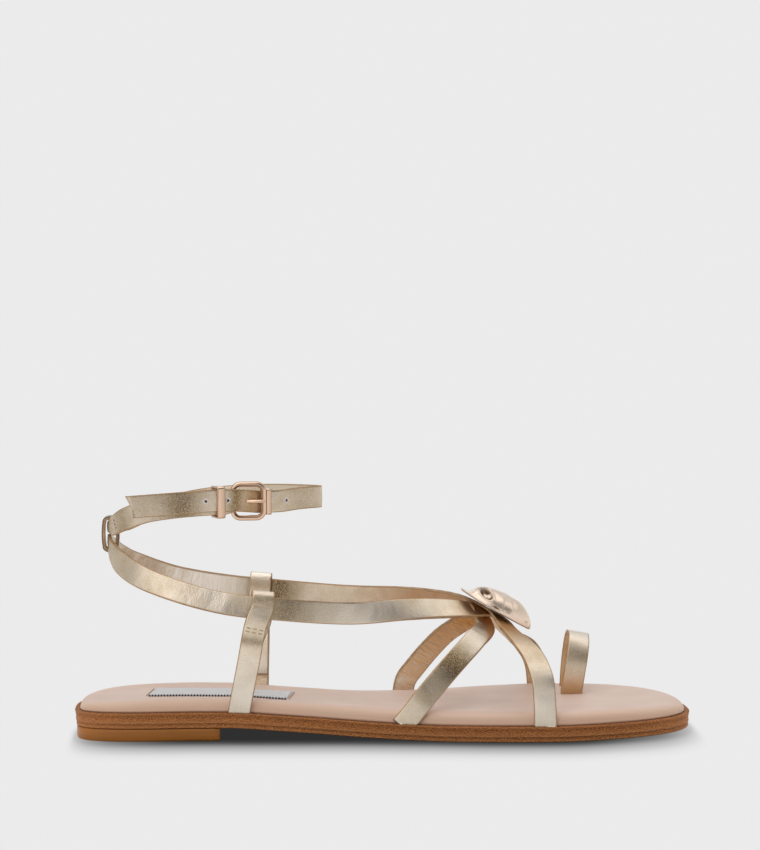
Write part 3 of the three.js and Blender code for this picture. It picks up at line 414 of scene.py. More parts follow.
# Paints that a strap carries along its length, and what a row has where it names no value. Of
# these, tone, warm and shine are painted light: dark reflections and shade, warm shade and orange
# reflections, and highlights.
STRAP_PAINTS = ("wrinkle", "lining", "tone", "warm_shade", "shine")
ROW_STANDARD = {"wide": 1.0, "thick": 1.0, **dict.fromkeys(STRAP_PAINTS, 0.0)}


class Path:
    """A strap's middle line with the direction of its outer face, evenly spaced along its length.

    rows hold (point, face, values): values may have the width and thickness as shares of the
    strap's, and amounts of paint. paint adds soft patches: the paint, the side of the sandal, and
    for each patch its axis (0 along the sole, 2 up), place, reach and amount.
    """

    def __init__(self, rows, step=STRAP_STEP, paint=()):
        share = np.linspace(0, 1, 60 * len(rows))
        dense = catmull_rom([row[0] for row in rows], share)
        length = np.concatenate([[0], np.cumsum(np.linalg.norm(np.diff(dense, axis=0), axis=1))])
        count = max(8, int(length[-1] / step) + 1)
        self.at = np.linspace(0, length[-1], count)
        self.length = float(length[-1])
        share_at = np.interp(self.at, length, share)
        row_at = share_at * (len(rows) - 1)
        self.point = catmull_rom([row[0] for row in rows], share_at)
        self.tangent = unit(np.gradient(self.point, axis=0))
        row_faces = np.array([row[1] for row in rows])
        face = np.stack([np.interp(row_at, range(len(rows)), row_faces[:, k]) for k in range(3)], 1)
        face = smooth_along(face, 4)
        face = face - self.tangent * np.sum(face * self.tangent, 1, keepdims=True)
        self.face = unit(face)
        self.across = np.cross(self.tangent, self.face)
        self.values = {
            key: np.interp(row_at, range(len(rows)), [row[2].get(key, standard) for row in rows])
            for key, standard in ROW_STANDARD.items()
        }
        for key, side, patches in paint:
            on_side = 1.0 if side == BOTH else np.sign(self.point[:, 1]) == side
            for axis, place, reach, amount in patches:
                self.values[key] += amount * on_side * bump(self.point[:, axis], place, reach)

    def nearest(self, place, after=0.0, before=1e9):
        """Index of the path's point nearest to a place, between two distances along it."""
        far = np.linalg.norm(self.point - np.asarray(place), axis=1)
        far[(self.at < after) | (self.at > before)] = 1e9
        return int(np.argmin(far))


def smooth_along(values, rounds):
    """Rows of values evened out along the first axis, with the ends kept."""
    for _ in range(rounds):
        values[1:-1] = 0.25 * values[:-2] + 0.5 * values[1:-1] + 0.25 * values[2:]
    return values


def strap_section():
    """Section of a strap: share of half the width, share of half the thickness and the zone of the
    face that starts there. Zone 0 is the outer face, 1 the cut edge and 2 the inner face."""
    rows = [(a, 1.0, 0) for a in np.linspace(-0.955, 0.955, 15)]
    rows[-1] = (0.955, 1.0, 1)
    rows += [(0.988, 0.86, 1), (1.0, 0.45, 1), (1.0, -0.45, 1), (0.988, -0.86, 1)]
    rows += [(a, -1.0, 2) for a in np.linspace(0.955, -0.955, 11)]
    rows[-1] = (-0.955, -1.0, 1)
    rows += [(-0.988, -0.86, 1), (-1.0, -0.45, 1), (-1.0, 0.45, 1), (-0.988, 0.86, 1)]
    return np.array(rows)


def strap_mesh(name, path, node, seed, slant=0.0, cut=None, wave=0.12):
    """A strap as one closed surface: the section swept along the path.

    Each section point is the path's point, plus its share of half the width across, plus its
    share of half the thickness along the face. Both faces bulge by the crown times 1 - share^2,
    and carry a slow ripple of height wave and fine folds where the wrinkle paint is high. slant
    skews the last row, and cut(points) may lift points, to end the strap level on the rim. The
    paint hem marks the cut edge and the borders of both faces.
    """
    section = strap_section()
    count, around = len(path.at), len(section)
    half = path.values["wide"][:, None] * STRAP_WIDTH / 2
    thick = path.values["thick"][:, None] * STRAP_THICKNESS / 2
    share, level, zone = section[:, 0][None], section[:, 1][None], section[:, 2].astype(int)
    across = half * share
    out = thick * level + STRAP_CROWN * (1 - share**2) * np.sign(level) * (np.abs(level) > 0.99)
    wrinkle = path.values["wrinkle"][:, None]
    face_ripple = ripple(path.at[:, None] + 1.7 * share, seed, RIPPLE_WAVE) * wave
    bent = path.at[:, None] + 0.9 * np.sin(3 * share + seed)
    folds = ripple(bent, seed + 9, FOLD_WAVE) * FOLD_DEPTH * wrinkle
    out = out + face_ripple * (1 - share**2 * 0.6) + folds * (1 - share**2 * 0.3)
    longer = np.zeros((count, 1))
    longer[-1] = slant / 2
    points = (
        path.point[:, None]
        + path.across[:, None] * across[..., None]
        + path.face[:, None] * out[..., None]
        + path.tangent[:, None] * (longer * share)[..., None]
    )
    if cut is not None:
        points = cut(points)
    faces = grid_faces(count, around, closed_columns=True)[:, ::-1].tolist()
    faces += [list(range(around)), list(range((count - 1) * around, count * around))[::-1]]
    along = np.repeat(path.at, around)
    side = np.tile(np.where(zone == 2, 40.0, 0.0) + section[:, 0] * STRAP_WIDTH / 2, count)
    paint = {key: np.repeat(path.values[key], around) for key in STRAP_PAINTS}
    paint["hem"] = np.tile(np.abs(section[:, 0]) > 0.95, count)
    return add_piece(
        name,
        points.reshape(-1, 3),
        faces,
        ["strap_leather", "strap_edge", "strap_lining"],
        node,
        slots=np.concatenate([np.tile(zone, count - 1), [1, 1]]),
        uv=np.stack([along + 300 * seed, side], 1),
        paint=paint,
    )


def level_on_rim(points):
    """Lifts what would lie below the outsole's rim up to it, so a strap's end stands on the rim."""
    low = ledge(np.clip(points[..., 0], 0, SOLE_LENGTH)) + 0.05
    points = points.copy()
    points[..., 2] = np.maximum(points[..., 2], low)
    return points


def tube_mesh(points, out, up, radius, sides, closed=True):
    """Points and faces of a round tube along a line, with two unit directions across it."""
    turn = np.linspace(0, 2 * math.pi, sides, endpoint=False)
    reach = np.broadcast_to(np.asarray(radius, float), (len(points),))[:, None, None]
    ring = np.cos(turn)[None, :, None] * out[:, None] + np.sin(turn)[None, :, None] * up[:, None]
    flat = (points[:, None] + reach * ring).reshape(-1, 3)
    faces = grid_faces(len(points), sides, closed_rows=closed, closed_columns=True).tolist()
    if not closed:
        faces += [list(range(sides))[::-1], list(range((len(points) - 1) * sides, len(points) * sides))]
    return flat, faces


def joined(parts):
    """Several (points, faces) as one."""
    points, faces, base = [], [], 0
    for some, more in parts:
        points.append(some)
        faces += [[int(i) + base for i in face] for face in more]
        base += len(some)
    return np.concatenate(points), faces


# Materials


def new_material(name, color, roughness, metallic=0.0, coat=0.0, sheen=0.0, specular=0.5):
    """A Principled material with set values. Returns it with its tree and shader."""
    material = bpy.data.materials.new(name)
    material.use_nodes = True
    tree = material.node_tree
    shader = tree.nodes["Principled BSDF"]
    shader.inputs["Base Color"].default_value = (*color, 1)
    shader.inputs["Roughness"].default_value = roughness
    shader.inputs["Metallic"].default_value = metallic
    shader.inputs["Coat Weight"].default_value = coat
    shader.inputs["Coat Roughness"].default_value = 0.2
    shader.inputs["Sheen Weight"].default_value = sheen
    shader.inputs["Specular IOR Level"].default_value = specular
    return material, tree, shader


def noise(tree, coordinates, scale, detail=3.0, roughness=0.55, distortion=0.0):
    """Value of a fractal noise at the coordinates."""
    node = tree.nodes.new("ShaderNodeTexNoise")
    node.inputs["Scale"].default_value = scale
    node.inputs["Detail"].default_value = detail
    node.inputs["Roughness"].default_value = roughness
    node.inputs["Distortion"].default_value = distortion
    tree.links.new(coordinates, node.inputs["Vector"])
    return node.outputs["Fac"]


def cells(tree, coordinates, scale):
    """Distance from the coordinates to the nearest point of a random cell pattern."""
    node = tree.nodes.new("ShaderNodeTexVoronoi")
    node.inputs["Scale"].default_value = scale
    tree.links.new(coordinates, node.inputs["Vector"])
    return node.outputs["Distance"]


def ramp(tree, value, stops):
    """A colour ramp through (position, colour) stops."""
    node = tree.nodes.new("ShaderNodeValToRGB")
    while len(node.color_ramp.elements) < len(stops):
        node.color_ramp.elements.new(0.5)
    for element, (position, color) in zip(node.color_ramp.elements, stops):
        element.position = position
        element.color = (*color, 1)
    tree.links.new(value, node.inputs["Fac"])
    return node.outputs["Color"]


def math_node(tree, operation, a, b):
    """An operation on two values, each a number or a socket."""
    node = tree.nodes.new("ShaderNodeMath")
    node.operation = operation
    for socket, value in zip(node.inputs, (a, b)):
        if isinstance(value, (int, float)):
            socket.default_value = value
        else:
            tree.links.new(value, socket)
    return node.outputs["Value"]


def mix_color(tree, factor, a, b):
    """Colour a, turned to colour b by the factor."""
    node = tree.nodes.new("ShaderNodeMix")
    node.data_type = "RGBA"
    for socket, value in ((node.inputs["Factor"], factor), (node.inputs["A"], a), (node.inputs["B"], b)):
        if isinstance(value, (int, float)):
            socket.default_value = value
        elif isinstance(value, tuple):
            socket.default_value = (*value, 1)
        else:
            tree.links.new(value, socket)
    return node.outputs["Result"]


def bump_node(tree, height, strength, distance, normal=None):
    """A normal tilted by the slope of a height, on top of another normal where one is given."""
    node = tree.nodes.new("ShaderNodeBump")
    node.inputs["Strength"].default_value = strength
    node.inputs["Distance"].default_value = distance
    tree.links.new(height, node.inputs["Height"])
    if normal is not None:
        tree.links.new(normal, node.inputs["Normal"])
    return node.outputs["Normal"]


def coordinates(tree, kind="Object"):
    """The piece's own Object coordinates, or those of its UV map."""
    return tree.nodes.new("ShaderNodeTexCoord").outputs[kind]


def stretched(tree, source, scale):
    """Coordinates times a scale along each axis."""
    node = tree.nodes.new("ShaderNodeMapping")
    node.inputs["Scale"].default_value = scale
    tree.links.new(source, node.inputs["Vector"])
    return node.outputs["Vector"]


def painted(tree, name):
    """Value of a named paint."""
    node = tree.nodes.new("ShaderNodeAttribute")
    node.attribute_name = name
    return node.outputs["Fac"]


# Colours of painted warm shade and of painted highlights on the straps, then the real tans of the cut hem
# and of bare lining.
SHADE_TAN = (0.52, 0.28, 0.09)
PALE_SHINE = (0.98, 0.91, 0.82)
HEM_TAN = (0.46, 0.27, 0.12)
BARE_TAN = (0.78, 0.49, 0.20)


def strap_material(name, color, dark, roughness, metallic, wrinkle_strength, lining=False):
    """Foiled leather: fine pebbled grain, soft cloudy colour, and folds across the strap where the
    wrinkle paint is high. The paints tone, warm and shine are painted light: a dark speckle of painted
    dark reflections and shade, a warm tan of painted shade and orange reflections, and a pale painted
    highlight. The hem paint darkens its borders. On a lining the lining paint turns it to a fibrous
    bare tan."""
    material, tree, shader = new_material(name, color, roughness, metallic)
    place = coordinates(tree)
    grain = cells(tree, place, 1900)
    fine = noise(tree, place, 5200, 2.0)
    cloud = noise(tree, place, 140, 3.0)
    color_and_painted_light = ramp(tree, cloud, [(0.3, dark), (0.62, color)])
    hollows = ramp(tree, grain, [(0.15, (0.30,) * 3), (0.5, (0, 0, 0))])
    color_and_painted_light = mix_color(tree, hollows, color_and_painted_light, (0.40, 0.29, 0.18))
    # Painted light over the leather's colour: a dark speckle of painted reflections and shade, a tan of
    # painted warm shade, and a pale painted highlight, each where its paint is high.
    mottle = noise(tree, place, 2600, 2.0, 0.6)
    dark_reflection_speckle = ramp(tree, mottle, [(0.38, (0.075, 0.043, 0.016)), (0.72, (0.62, 0.46, 0.27))])
    for key, there in (("tone", dark_reflection_speckle), ("warm_shade", SHADE_TAN), ("shine", PALE_SHINE)):
        color_and_painted_light = mix_color(tree, painted(tree, key), color_and_painted_light, there)
    hem = ramp(tree, painted(tree, "hem"), [(0.45, (0, 0, 0)), (0.8, (0.7,) * 3)])
    color_and_painted_light = mix_color(tree, hem, color_and_painted_light, HEM_TAN)
    if lining:
        fibre = noise(tree, stretched(tree, coordinates(tree, "UV"), (1.6, 0.35, 1.0)), 700, 4.0, 0.65, 0.8)
        fibres = ramp(tree, fibre, [(0.40, (0.08,) * 3), (0.62, (0.9,) * 3)])
        bare = math_node(tree, "MULTIPLY", painted(tree, "lining"), fibres)
        color_and_painted_light = mix_color(tree, bare, color_and_painted_light, BARE_TAN)
        foil = math_node(tree, "SUBTRACT", 1.0, bare)
        tree.links.new(math_node(tree, "MULTIPLY", foil, metallic), shader.inputs["Metallic"])
    tree.links.new(color_and_painted_light, shader.inputs["Base Color"])
    pebbles = math_node(tree, "MULTIPLY", grain, 0.7)
    height = math_node(tree, "ADD", pebbles, math_node(tree, "MULTIPLY", fine, 0.5))
    normal = bump_node(tree, height, 0.32, 0.00024)
    along = stretched(tree, coordinates(tree, "UV"), (1.0, 0.16, 1.0))
    folds = noise(tree, along, 420, 3.0, 0.6, 0.6)
    folds = math_node(tree, "MULTIPLY", folds, painted(tree, "wrinkle"))
    normal = bump_node(tree, folds, wrinkle_strength, 0.0012, normal)
    tree.links.new(normal, shader.inputs["Normal"])
    rough = ramp(tree, cloud, [(0.25, (roughness + 0.10,) * 3), (0.7, (roughness - 0.05,) * 3)])
    tree.links.new(rough, shader.inputs["Roughness"])
    return material


def edge_material():
    """Cut and painted edge of the straps: matt tan with a fibrous line along it."""
    material, tree, shader = new_material("strap_edge", (0.42, 0.25, 0.12), 0.55)
    fibre = noise(tree, stretched(tree, coordinates(tree, "UV"), (0.25, 4.0, 1.0)), 900, 4.0)
    tone = ramp(tree, fibre, [(0.3, (0.30, 0.16, 0.07)), (0.7, (0.52, 0.34, 0.18))])
    tree.links.new(tone, shader.inputs["Base Color"])
    tree.links.new(bump_node(tree, fibre, 0.3, 0.0002), shader.inputs["Normal"])
    return material


def footbed_material():
    """Smooth nude leather: fine pores, faint streaks, a warmer colour where the side paint is high, and
    a dark brown of painted shade and reflection where the seam paint is: at the foot of the side, where
    it meets the outsole, and in the dents round the toe loop's slits."""
    material, tree, shader = new_material("footbed_leather", (0.62, 0.42, 0.33), 0.48, sheen=0.15)
    place = coordinates(tree)
    cloud = noise(tree, place, 38, 4.0)
    streak = noise(tree, stretched(tree, place, (0.35, 1.6, 1.0)), 160, 3.0)
    tone = ramp(tree, cloud, [(0.3, (0.71, 0.515, 0.42)), (0.7, (0.80, 0.60, 0.50))])
    tone = mix_color(tree, math_node(tree, "MULTIPLY", streak, 0.22), tone, (0.66, 0.45, 0.36))
    side = mix_color(tree, painted(tree, "side"), tone, (0.70, 0.47, 0.335))
    # Painted shade and brown reflection where the seam paint is high.
    seam_shade = math_node(tree, "MULTIPLY", painted(tree, "seam_shade"), 0.45)
    with_seam_shade = mix_color(tree, seam_shade, side, (0.30, 0.15, 0.08))
    tree.links.new(with_seam_shade, shader.inputs["Base Color"])
    pores = cells(tree, place, 1500)
    soft = noise(tree, place, 300, 3.0)
    height = math_node(tree, "ADD", math_node(tree, "MULTIPLY", pores, 0.25), soft)
    tree.links.new(bump_node(tree, height, 0.12, 0.0004), shader.inputs["Normal"])
    tree.links.new(ramp(tree, cloud, [(0.3, (0.54,) * 3), (0.7, (0.42,) * 3)]), shader.inputs["Roughness"])
    return material


def outsole_material():
    """Embossed brown board: coarse leather print, darker in its hollows, with a painted highlight
    where the ridge paint is high and painted shade, nearly black, where the lip paint is."""
    material, tree, shader = new_material("sole_board", (0.20, 0.08, 0.03), 0.6, specular=0.25)
    place = coordinates(tree)
    pebble = cells(tree, stretched(tree, place, (1.0, 1.0, 1.5)), 1500)
    rough = noise(tree, place, 3000, 4.0, 0.7)
    height = math_node(tree, "ADD", pebble, math_node(tree, "MULTIPLY", rough, 0.8))
    browns = [(0.42, (0.125, 0.037, 0.009)), (0.68, (0.34, 0.113, 0.029)), (0.98, (0.60, 0.22, 0.062))]
    grain = ramp(tree, height, browns)
    # Painted highlight along the ridge, then painted shade, nearly black, where the lip paint is.
    light = mix_color(tree, painted(tree, "ridge"), grain, (0.55, 0.235, 0.088))
    dark = mix_color(tree, painted(tree, "lip"), light, (0.10, 0.045, 0.025))
    tree.links.new(dark, shader.inputs["Base Color"])
    tree.links.new(bump_node(tree, height, 0.75, 0.0006), shader.inputs["Normal"])
    return material


def heel_material():
    """Smooth pressed heel: satin orange brown with faint layers along it."""
    material, tree, shader = new_material("heel_stack", (0.27, 0.10, 0.03), 0.42, coat=0.08, specular=0.3)
    place = coordinates(tree)
    layers = noise(tree, stretched(tree, place, (0.05, 0.05, 6.0)), 420, 3.0)
    cloud = noise(tree, place, 60, 3.0)
    tone = ramp(tree, layers, [(0.35, (0.36, 0.125, 0.018)), (0.65, (0.48, 0.175, 0.028))])
    tone = mix_color(tree, math_node(tree, "MULTIPLY", cloud, 0.4), tone, (0.29, 0.10, 0.016))
    tree.links.new(tone, shader.inputs["Base Color"])
    tree.links.new(bump_node(tree, layers, 0.15, 0.0003), shader.inputs["Normal"])
    return material


def metal_material(name, color, roughness, ripple_scale, ripple_strength, metallic=1.0):
    """Polished plated metal with faint hand polishing and tiny scratches. Painted shade and dark
    reflection turn it to dark brown where it would mirror the dark parts round it."""
    material, tree, shader = new_material(name, color, roughness, metallic)
    color_and_painted_light = mix_color(tree, painted(tree, "shade_and_reflection"), color, (0.13, 0.06, 0.025))
    tree.links.new(color_and_painted_light, shader.inputs["Base Color"])
    place = coordinates(tree)
    wave = noise(tree, place, ripple_scale, 2.0)
    scratch = noise(tree, stretched(tree, place, (0.3, 1.0, 3.0)), 1400, 4.0, 0.7)
    normal = bump_node(tree, wave, ripple_strength, 0.0012)
    tree.links.new(bump_node(tree, scratch, 0.03, 0.0001, normal), shader.inputs["Normal"])
    dull = ramp(tree, scratch, [(0.35, (roughness,) * 3), (0.75, (roughness + 0.08,) * 3)])
    tree.links.new(dull, shader.inputs["Roughness"])
    return material


def label_material():
    """Satin woven label: crossing fine threads, slightly darker between them."""
    material, tree, shader = new_material("label_weave", (0.92, 0.92, 0.93), 0.55, sheen=0.3)
    wefts = tree.nodes.new("ShaderNodeTexWave")
    wefts.bands_direction = "Y"
    wefts.inputs["Scale"].default_value = 900
    warps = tree.nodes.new("ShaderNodeTexWave")
    warps.bands_direction = "X"
    warps.inputs["Scale"].default_value = 700
    along = coordinates(tree, "UV")
    for node in (wefts, warps):
        tree.links.new(along, node.inputs["Vector"])
    weave = math_node(tree, "MULTIPLY", wefts.outputs["Fac"], warps.outputs["Fac"])
    cloud = noise(tree, along, 90, 3.0)
    tone = ramp(tree, weave, [(0.1, (0.62, 0.62, 0.63)), (0.7, (0.90, 0.90, 0.91))])
    tone = mix_color(tree, math_node(tree, "MULTIPLY", cloud, 0.3), tone, (0.72, 0.71, 0.70))
    tree.links.new(tone, shader.inputs["Base Color"])
    tree.links.new(bump_node(tree, weave, 0.35, 0.0002), shader.inputs["Normal"])
    return material


def thread_material(name, color):
    """Twisted thread: its colour, darkened to 0.7 of it in the hollows of a fine noise."""
    material, tree, shader = new_material(name, color, 0.6, sheen=0.2)
    twist = noise(tree, stretched(tree, coordinates(tree), (1.0, 1.0, 2.0)), 3200, 2.0)
    tree.links.new(bump_node(tree, twist, 0.5, 0.0002), shader.inputs["Normal"])
    darker = tuple(0.7 * part for part in color)
    tree.links.new(ramp(tree, twist, [(0.3, darker), (0.7, color)]), shader.inputs["Base Color"])
    return material


CHAMPAGNE = (0.86, 0.735, 0.585)
MATERIALS = {
    "strap_leather": strap_material("strap_leather", CHAMPAGNE, (0.76, 0.62, 0.45), 0.33, 0.95, 0.5),
    "strap_lining": strap_material(
        "strap_lining", (0.86, 0.75, 0.60), (0.74, 0.61, 0.45), 0.32, 0.88, 0.9, lining=True
    ),
    "strap_edge": edge_material(),
    "footbed": footbed_material(),
    "outsole": outsole_material(),
    "heel": heel_material(),
    "buckle": metal_material("rose_gold", (0.88, 0.62, 0.45), 0.06, 240, 0.06),
    "ornament": metal_material("pale_gold", (0.93, 0.75, 0.60), 0.08, 150, 0.05, 0.60),
    "label": label_material(),
    "label_edge": thread_material("label_edge", (0.05, 0.05, 0.055)),
    "tan_thread": thread_material("tan_thread", (0.55, 0.36, 0.22)),
    "pale_thread": thread_material("pale_thread", (0.92, 0.80, 0.68)),
    "gold_thread": thread_material("gold_thread", (0.62, 0.49, 0.32)),
    "tab_edge": thread_material("tab_edge", (0.09, 0.075, 0.065)),
    "hole_rim": thread_material("hole_rim", (0.88, 0.82, 0.77)),
    "hole_shade": thread_material("hole_shade", (0.12, 0.07, 0.045)),
}


# Sole pieces


def sole_ring(inset, height):
    """The outline moved inwards, at a height that is a function of x."""
    ring = EDGE - EDGE_OUT * inset
    return np.stack([ring[:, 0], ring[:, 1], height(np.clip(ring[:, 0], 0, SOLE_LENGTH))], 1)


def ring_paint(shares, points, elsewhere=0.0):
    """Paint with one value per ring of the sole, and another value on the rows across its ends."""
    on_rings = np.repeat(shares, len(EDGE))
    return np.concatenate([on_rings, np.full(len(points) - len(on_rings), elsewhere)])


def sole_loft(rings, rows_across, top=None, bottom=None):
    """Closed surface of rings from the lowest up. Its two ends are filled with rows of points that
    run straight across from each outline point to its partner on the other side."""
    count = len(EDGE)
    points = np.concatenate(rings)
    faces = grid_faces(len(rings), count, closed_columns=True).tolist()
    half = count // 2
    for ring, height, flip in ((rings[0], bottom, True), (rings[-1], top, False)):
        share = np.linspace(0, 1, rows_across)[1:-1]
        left, right = ring[1:half], ring[::-1][: half - 1]
        inner = left[:, None] + (right - left)[:, None] * share[None, :, None]
        if height is not None:
            inner[..., 2] = height(inner[..., 0], inner[..., 1])
        base = len(points)
        start = 0 if ring is rings[0] else (len(rings) - 1) * count
        points = np.concatenate([points, inner.reshape(-1, 3)])
        columns = len(share)
        index = np.empty((half - 1, columns + 2), int)
        index[:, 0] = start + np.arange(1, half)
        index[:, -1] = start + count - np.arange(1, half)
        index[:, 1:-1] = base + np.arange((half - 1) * columns).reshape(half - 1, columns)
        quads = np.stack([index[:-1, :-1], index[1:, :-1], index[1:, 1:], index[:-1, 1:]], -1)
        ends = [[start, *index[0]], [start + half, *index[-1][::-1]]]
        some = quads.reshape(-1, 4).tolist() + ends
        faces += [face[::-1] for face in some] if flip else some
    return points, faces


# Outsole side from its underside up: height share, groove share, ridge paint (painted highlight)
# and lip paint (painted shade, strongest at the foot and at the rim).
OUTSOLE_SIDE = [
    (0.0, 1.6, 0.0, 0.6),
    (0.02, 0.6, 0.2, 0.3),
    (0.06, 0.1, 0.5, 0.0),
    (0.16, 0.5, 0.3, 0.0),
    (0.29, 0.6, 0.0, 0.3),
    (0.345, 0.1, 0.45, 0.05),
    (0.39, 0.0, 0.7, 0.0),
    (0.45, 0.4, 0.45, 0.0),
    (0.56, 0.55, 0.25, 0.0),
    (0.68, 0.6, 0.0, 0.12),
    (0.82, 0.4, 0.0, 0.28),
    (0.93, 0.1, 0.15, 0.1),
    (0.975, 0.4, 0.2, 0.1),
    (1.0, 1.6, 0.0, 0.5),
]


def make_outsole():
    """The outsole: the outline's rings moved in by groove and taper, with a soft ridge at two
    fifths of the height, then the flat rim that runs in under the footbed."""
    levels = np.unique(np.concatenate([np.linspace(0, 1, 30), [0.01, 0.03, 0.985]]))
    rings, ridge, lip = [], [], []
    for up in levels:
        inset = smooth(OUTSOLE_SIDE, 1, up) * GROOVE_DEPTH + (1 - up) * SIDE_TAPER
        rings.append(sole_ring(inset, lambda x, up=up: underside(x) + up * OUTSOLE_THICKNESS))
        ridge.append(float(smooth(OUTSOLE_SIDE, 2, up)))
        lip.append(float(smooth(OUTSOLE_SIDE, 3, up)))
    # The rim's rings under the footbed carry painted shade in the lip paint.
    for inset, dark in ((1.2, 0.2), (1.9, 0.5), (2.6, 0.8), (4.5, 0.8)):
        rings.append(sole_ring(inset, ledge))
        ridge.append(0.0)
        lip.append(dark)

    def rim_height(x, y):
        return ledge(np.clip(x, 0, SOLE_LENGTH))

    def base_height(x, y):
        return underside(np.clip(x, 0, SOLE_LENGTH))

    points, faces = sole_loft(rings, 24, top=rim_height, bottom=base_height)
    paint = {"ridge": ring_paint(ridge, points), "lip": ring_paint(lip, points, 0.3)}
    add_piece("outsole_fine", points, faces, ["outsole"], "outsole", paint=paint)


# Heel block from its foot up: height share, and the share of the rounding that it is moved in by.
HEEL_SIDE = [
    (0.0, 1.3),
    (0.0, 0.75),
    (0.03, 0.35),
    (0.10, 0.1),
    (0.2, 0.0),
    (0.5, 0.0),
    (0.8, 0.0),
    (0.95, 0.05),
    (1.0, 0.25),
]


def make_heel_block():
    """The heel block: the heel's part of the outline, closed by a straight breast, with rounded
    edges at the foot and a hairline shadow gap under the outsole."""
    inside = EDGE[:, 0] < HEEL_BLOCK_LENGTH - 2
    heel = np.nonzero(~inside)[0]
    order = np.concatenate([np.arange(heel[-1] + 1, len(EDGE)), np.arange(0, heel[0])])
    side, out = EDGE[order], EDGE_OUT[order]
    height = HEEL_LIFT - HEEL_GAP
    rings = []
    for up, share in HEEL_SIDE:
        inset = SIDE_TAPER + HEEL_BLOCK_INSET + share * HEEL_BLOCK_ROUND
        ring = side - out * inset
        corner = HEEL_BLOCK_LENGTH - share * 0.5
        first, last = ring[-1, 1], ring[0, 1]
        bend = [(HEEL_BLOCK_LENGTH - 0.6, 0.0), (corner - 0.1, 0.25), (corner, 0.7)]
        near = [(x, first - np.sign(first) * pull) for x, pull in bend]
        far = [(x, last - np.sign(last) * pull) for x, pull in bend][::-1]
        breast = [(corner, y) for y in np.linspace(near[-1][1], far[0][1], 24)[1:-1]]
        ring = np.concatenate([ring, near, breast, far])
        rings.append(np.column_stack([ring, np.full(len(ring), up * height)]))
    count = len(rings[0])
    points = np.concatenate(rings)
    faces = grid_faces(len(rings), count, closed_columns=True).tolist()
    faces += [list(range(count))[::-1], list(range((len(rings) - 1) * count, len(rings) * count))]
    add_piece("heel_block_fine", points, faces, ["heel"], "heel_block")


# Footbed side from its underside up: inset past the ledge in shares of the edge's rounding, height
# share of the thickness, share of the dish, paint of the side and of the seam, the seam paint being
# painted shade where the footbed meets the outsole.
FOOTBED_SIDE = [
    (0.0, 0.10, -0.02, 0.0, 1.0, 1.0),
    (0.5, 0.02, 0.02, 0.0, 1.0, 0.9),
    (1.0, -0.02, 0.09, 0.0, 1.0, 0.35),
    (2.0, 0.0, 0.22, 0.0, 1.0, 0.0),
    (3.0, 0.02, 0.38, 0.0, 1.0, 0.0),
    (4.0, 0.11, 0.62, 0.0, 0.95, 0.0),
    (5.0, 0.28, 0.80, 0.0, 0.7, 0.0),
    (6.0, 0.52, 0.92, 0.0, 0.35, 0.0),
    (7.0, 0.85, 0.985, 0.1, 0.1, 0.0),
    (8.0, 1.3, 1.0, 0.4, 0.0, 0.0),
    (9.0, 2.0, 1.0, 1.0, 0.0, 0.0),
]


def footbed_height(x, y):
    """Top of the footbed away from its rounded edge: the ledge, the clearance and the thickness, less
    the dish and a shallow hollow under the ball, with the faint hollows of a soft pad."""
    x = np.clip(x, 0, SOLE_LENGTH)
    soft = 0.12 * ripple(x + 0.4 * y, 5, 60) + 0.08 * ripple(y - 0.2 * x, 8, 33)
    ball = 0.5 * bump(x, 178, 26) * bump(y, -2, 26)
    return ledge(x) + CLEARANCE + footbed_thickness(x) - seat_dish(x) + soft * 0.6 - ball


def make_footbed():
    """The padded footbed: rings whose inset and height follow the side table, and the top's height
    within them, pressed in by exp(-r^2) round the two slits of the toe loop."""
    rings, side, seam_shade = [], [], []
    for level in np.linspace(0, 9, 37):
        row = [float(smooth(FOOTBED_SIDE, k, level)) for k in range(1, 6)]
        inset, up, dish, side_paint, seam_shade_paint = row

        def height(x, up=up, dish=dish):
            thick = ledge(x) + CLEARANCE * min(1.0, up * 8) + up * footbed_thickness(x)
            return thick - dish * seat_dish(x)

        ring = sole_ring(FOOTBED_LEDGE + inset * FOOTBED_EDGE, height)
        if dish > 0:
            inner = footbed_height(ring[:, 0], ring[:, 1])
            blend = ease(level, 7.0, 9.0)
            ring[:, 2] = ring[:, 2] * (1 - blend) + inner * blend
        rings.append(ring)
        side.append(side_paint)
        seam_shade.append(seam_shade_paint)
    points, faces = sole_loft(rings, 46, top=footbed_height)
    paint = {"side": ring_paint(side, points), "seam_shade": ring_paint(seam_shade, points)}
    for x, y in slit_places():
        reach = np.hypot((points[:, 0] - x) / SLIT_REACH[0], (points[:, 1] - y) / SLIT_REACH[1])
        upper = points[:, 2] > footbed_top(np.clip(points[:, 0], 0, SOLE_LENGTH)) - 2.5
        near = np.exp(-(reach**2)) * upper
        points[:, 2] -= SLIT_DENT * near
        # Painted shade in the dents round the slits.
        paint["seam_shade"] = np.maximum(paint["seam_shade"], 0.5 * near)
    piece = add_piece("footbed_pad", points, faces, ["footbed"], "footbed", paint=paint)


def slit_places():
    """Where the toe loop goes down through the footbed."""
    reach = TOE_LOOP_WIDTH / 2
    return [(TOE_LOOP_AT, TOE_LOOP_OUT - reach), (TOE_LOOP_AT + 0.22 * STRAP_WIDTH, TOE_LOOP_OUT + reach)]


# Strap rows


def rim_row(at, side, above, **values):
    """Row of a strap that stands on the outsole's rim, at a height above it."""
    x = at * SOLE_LENGTH
    point, out = edge_point(x, side, FOOTBED_LEDGE - CLEARANCE - STRAP_THICKNESS / 2)
    point[2] = float(ledge(x)) + above
    return point, out, values


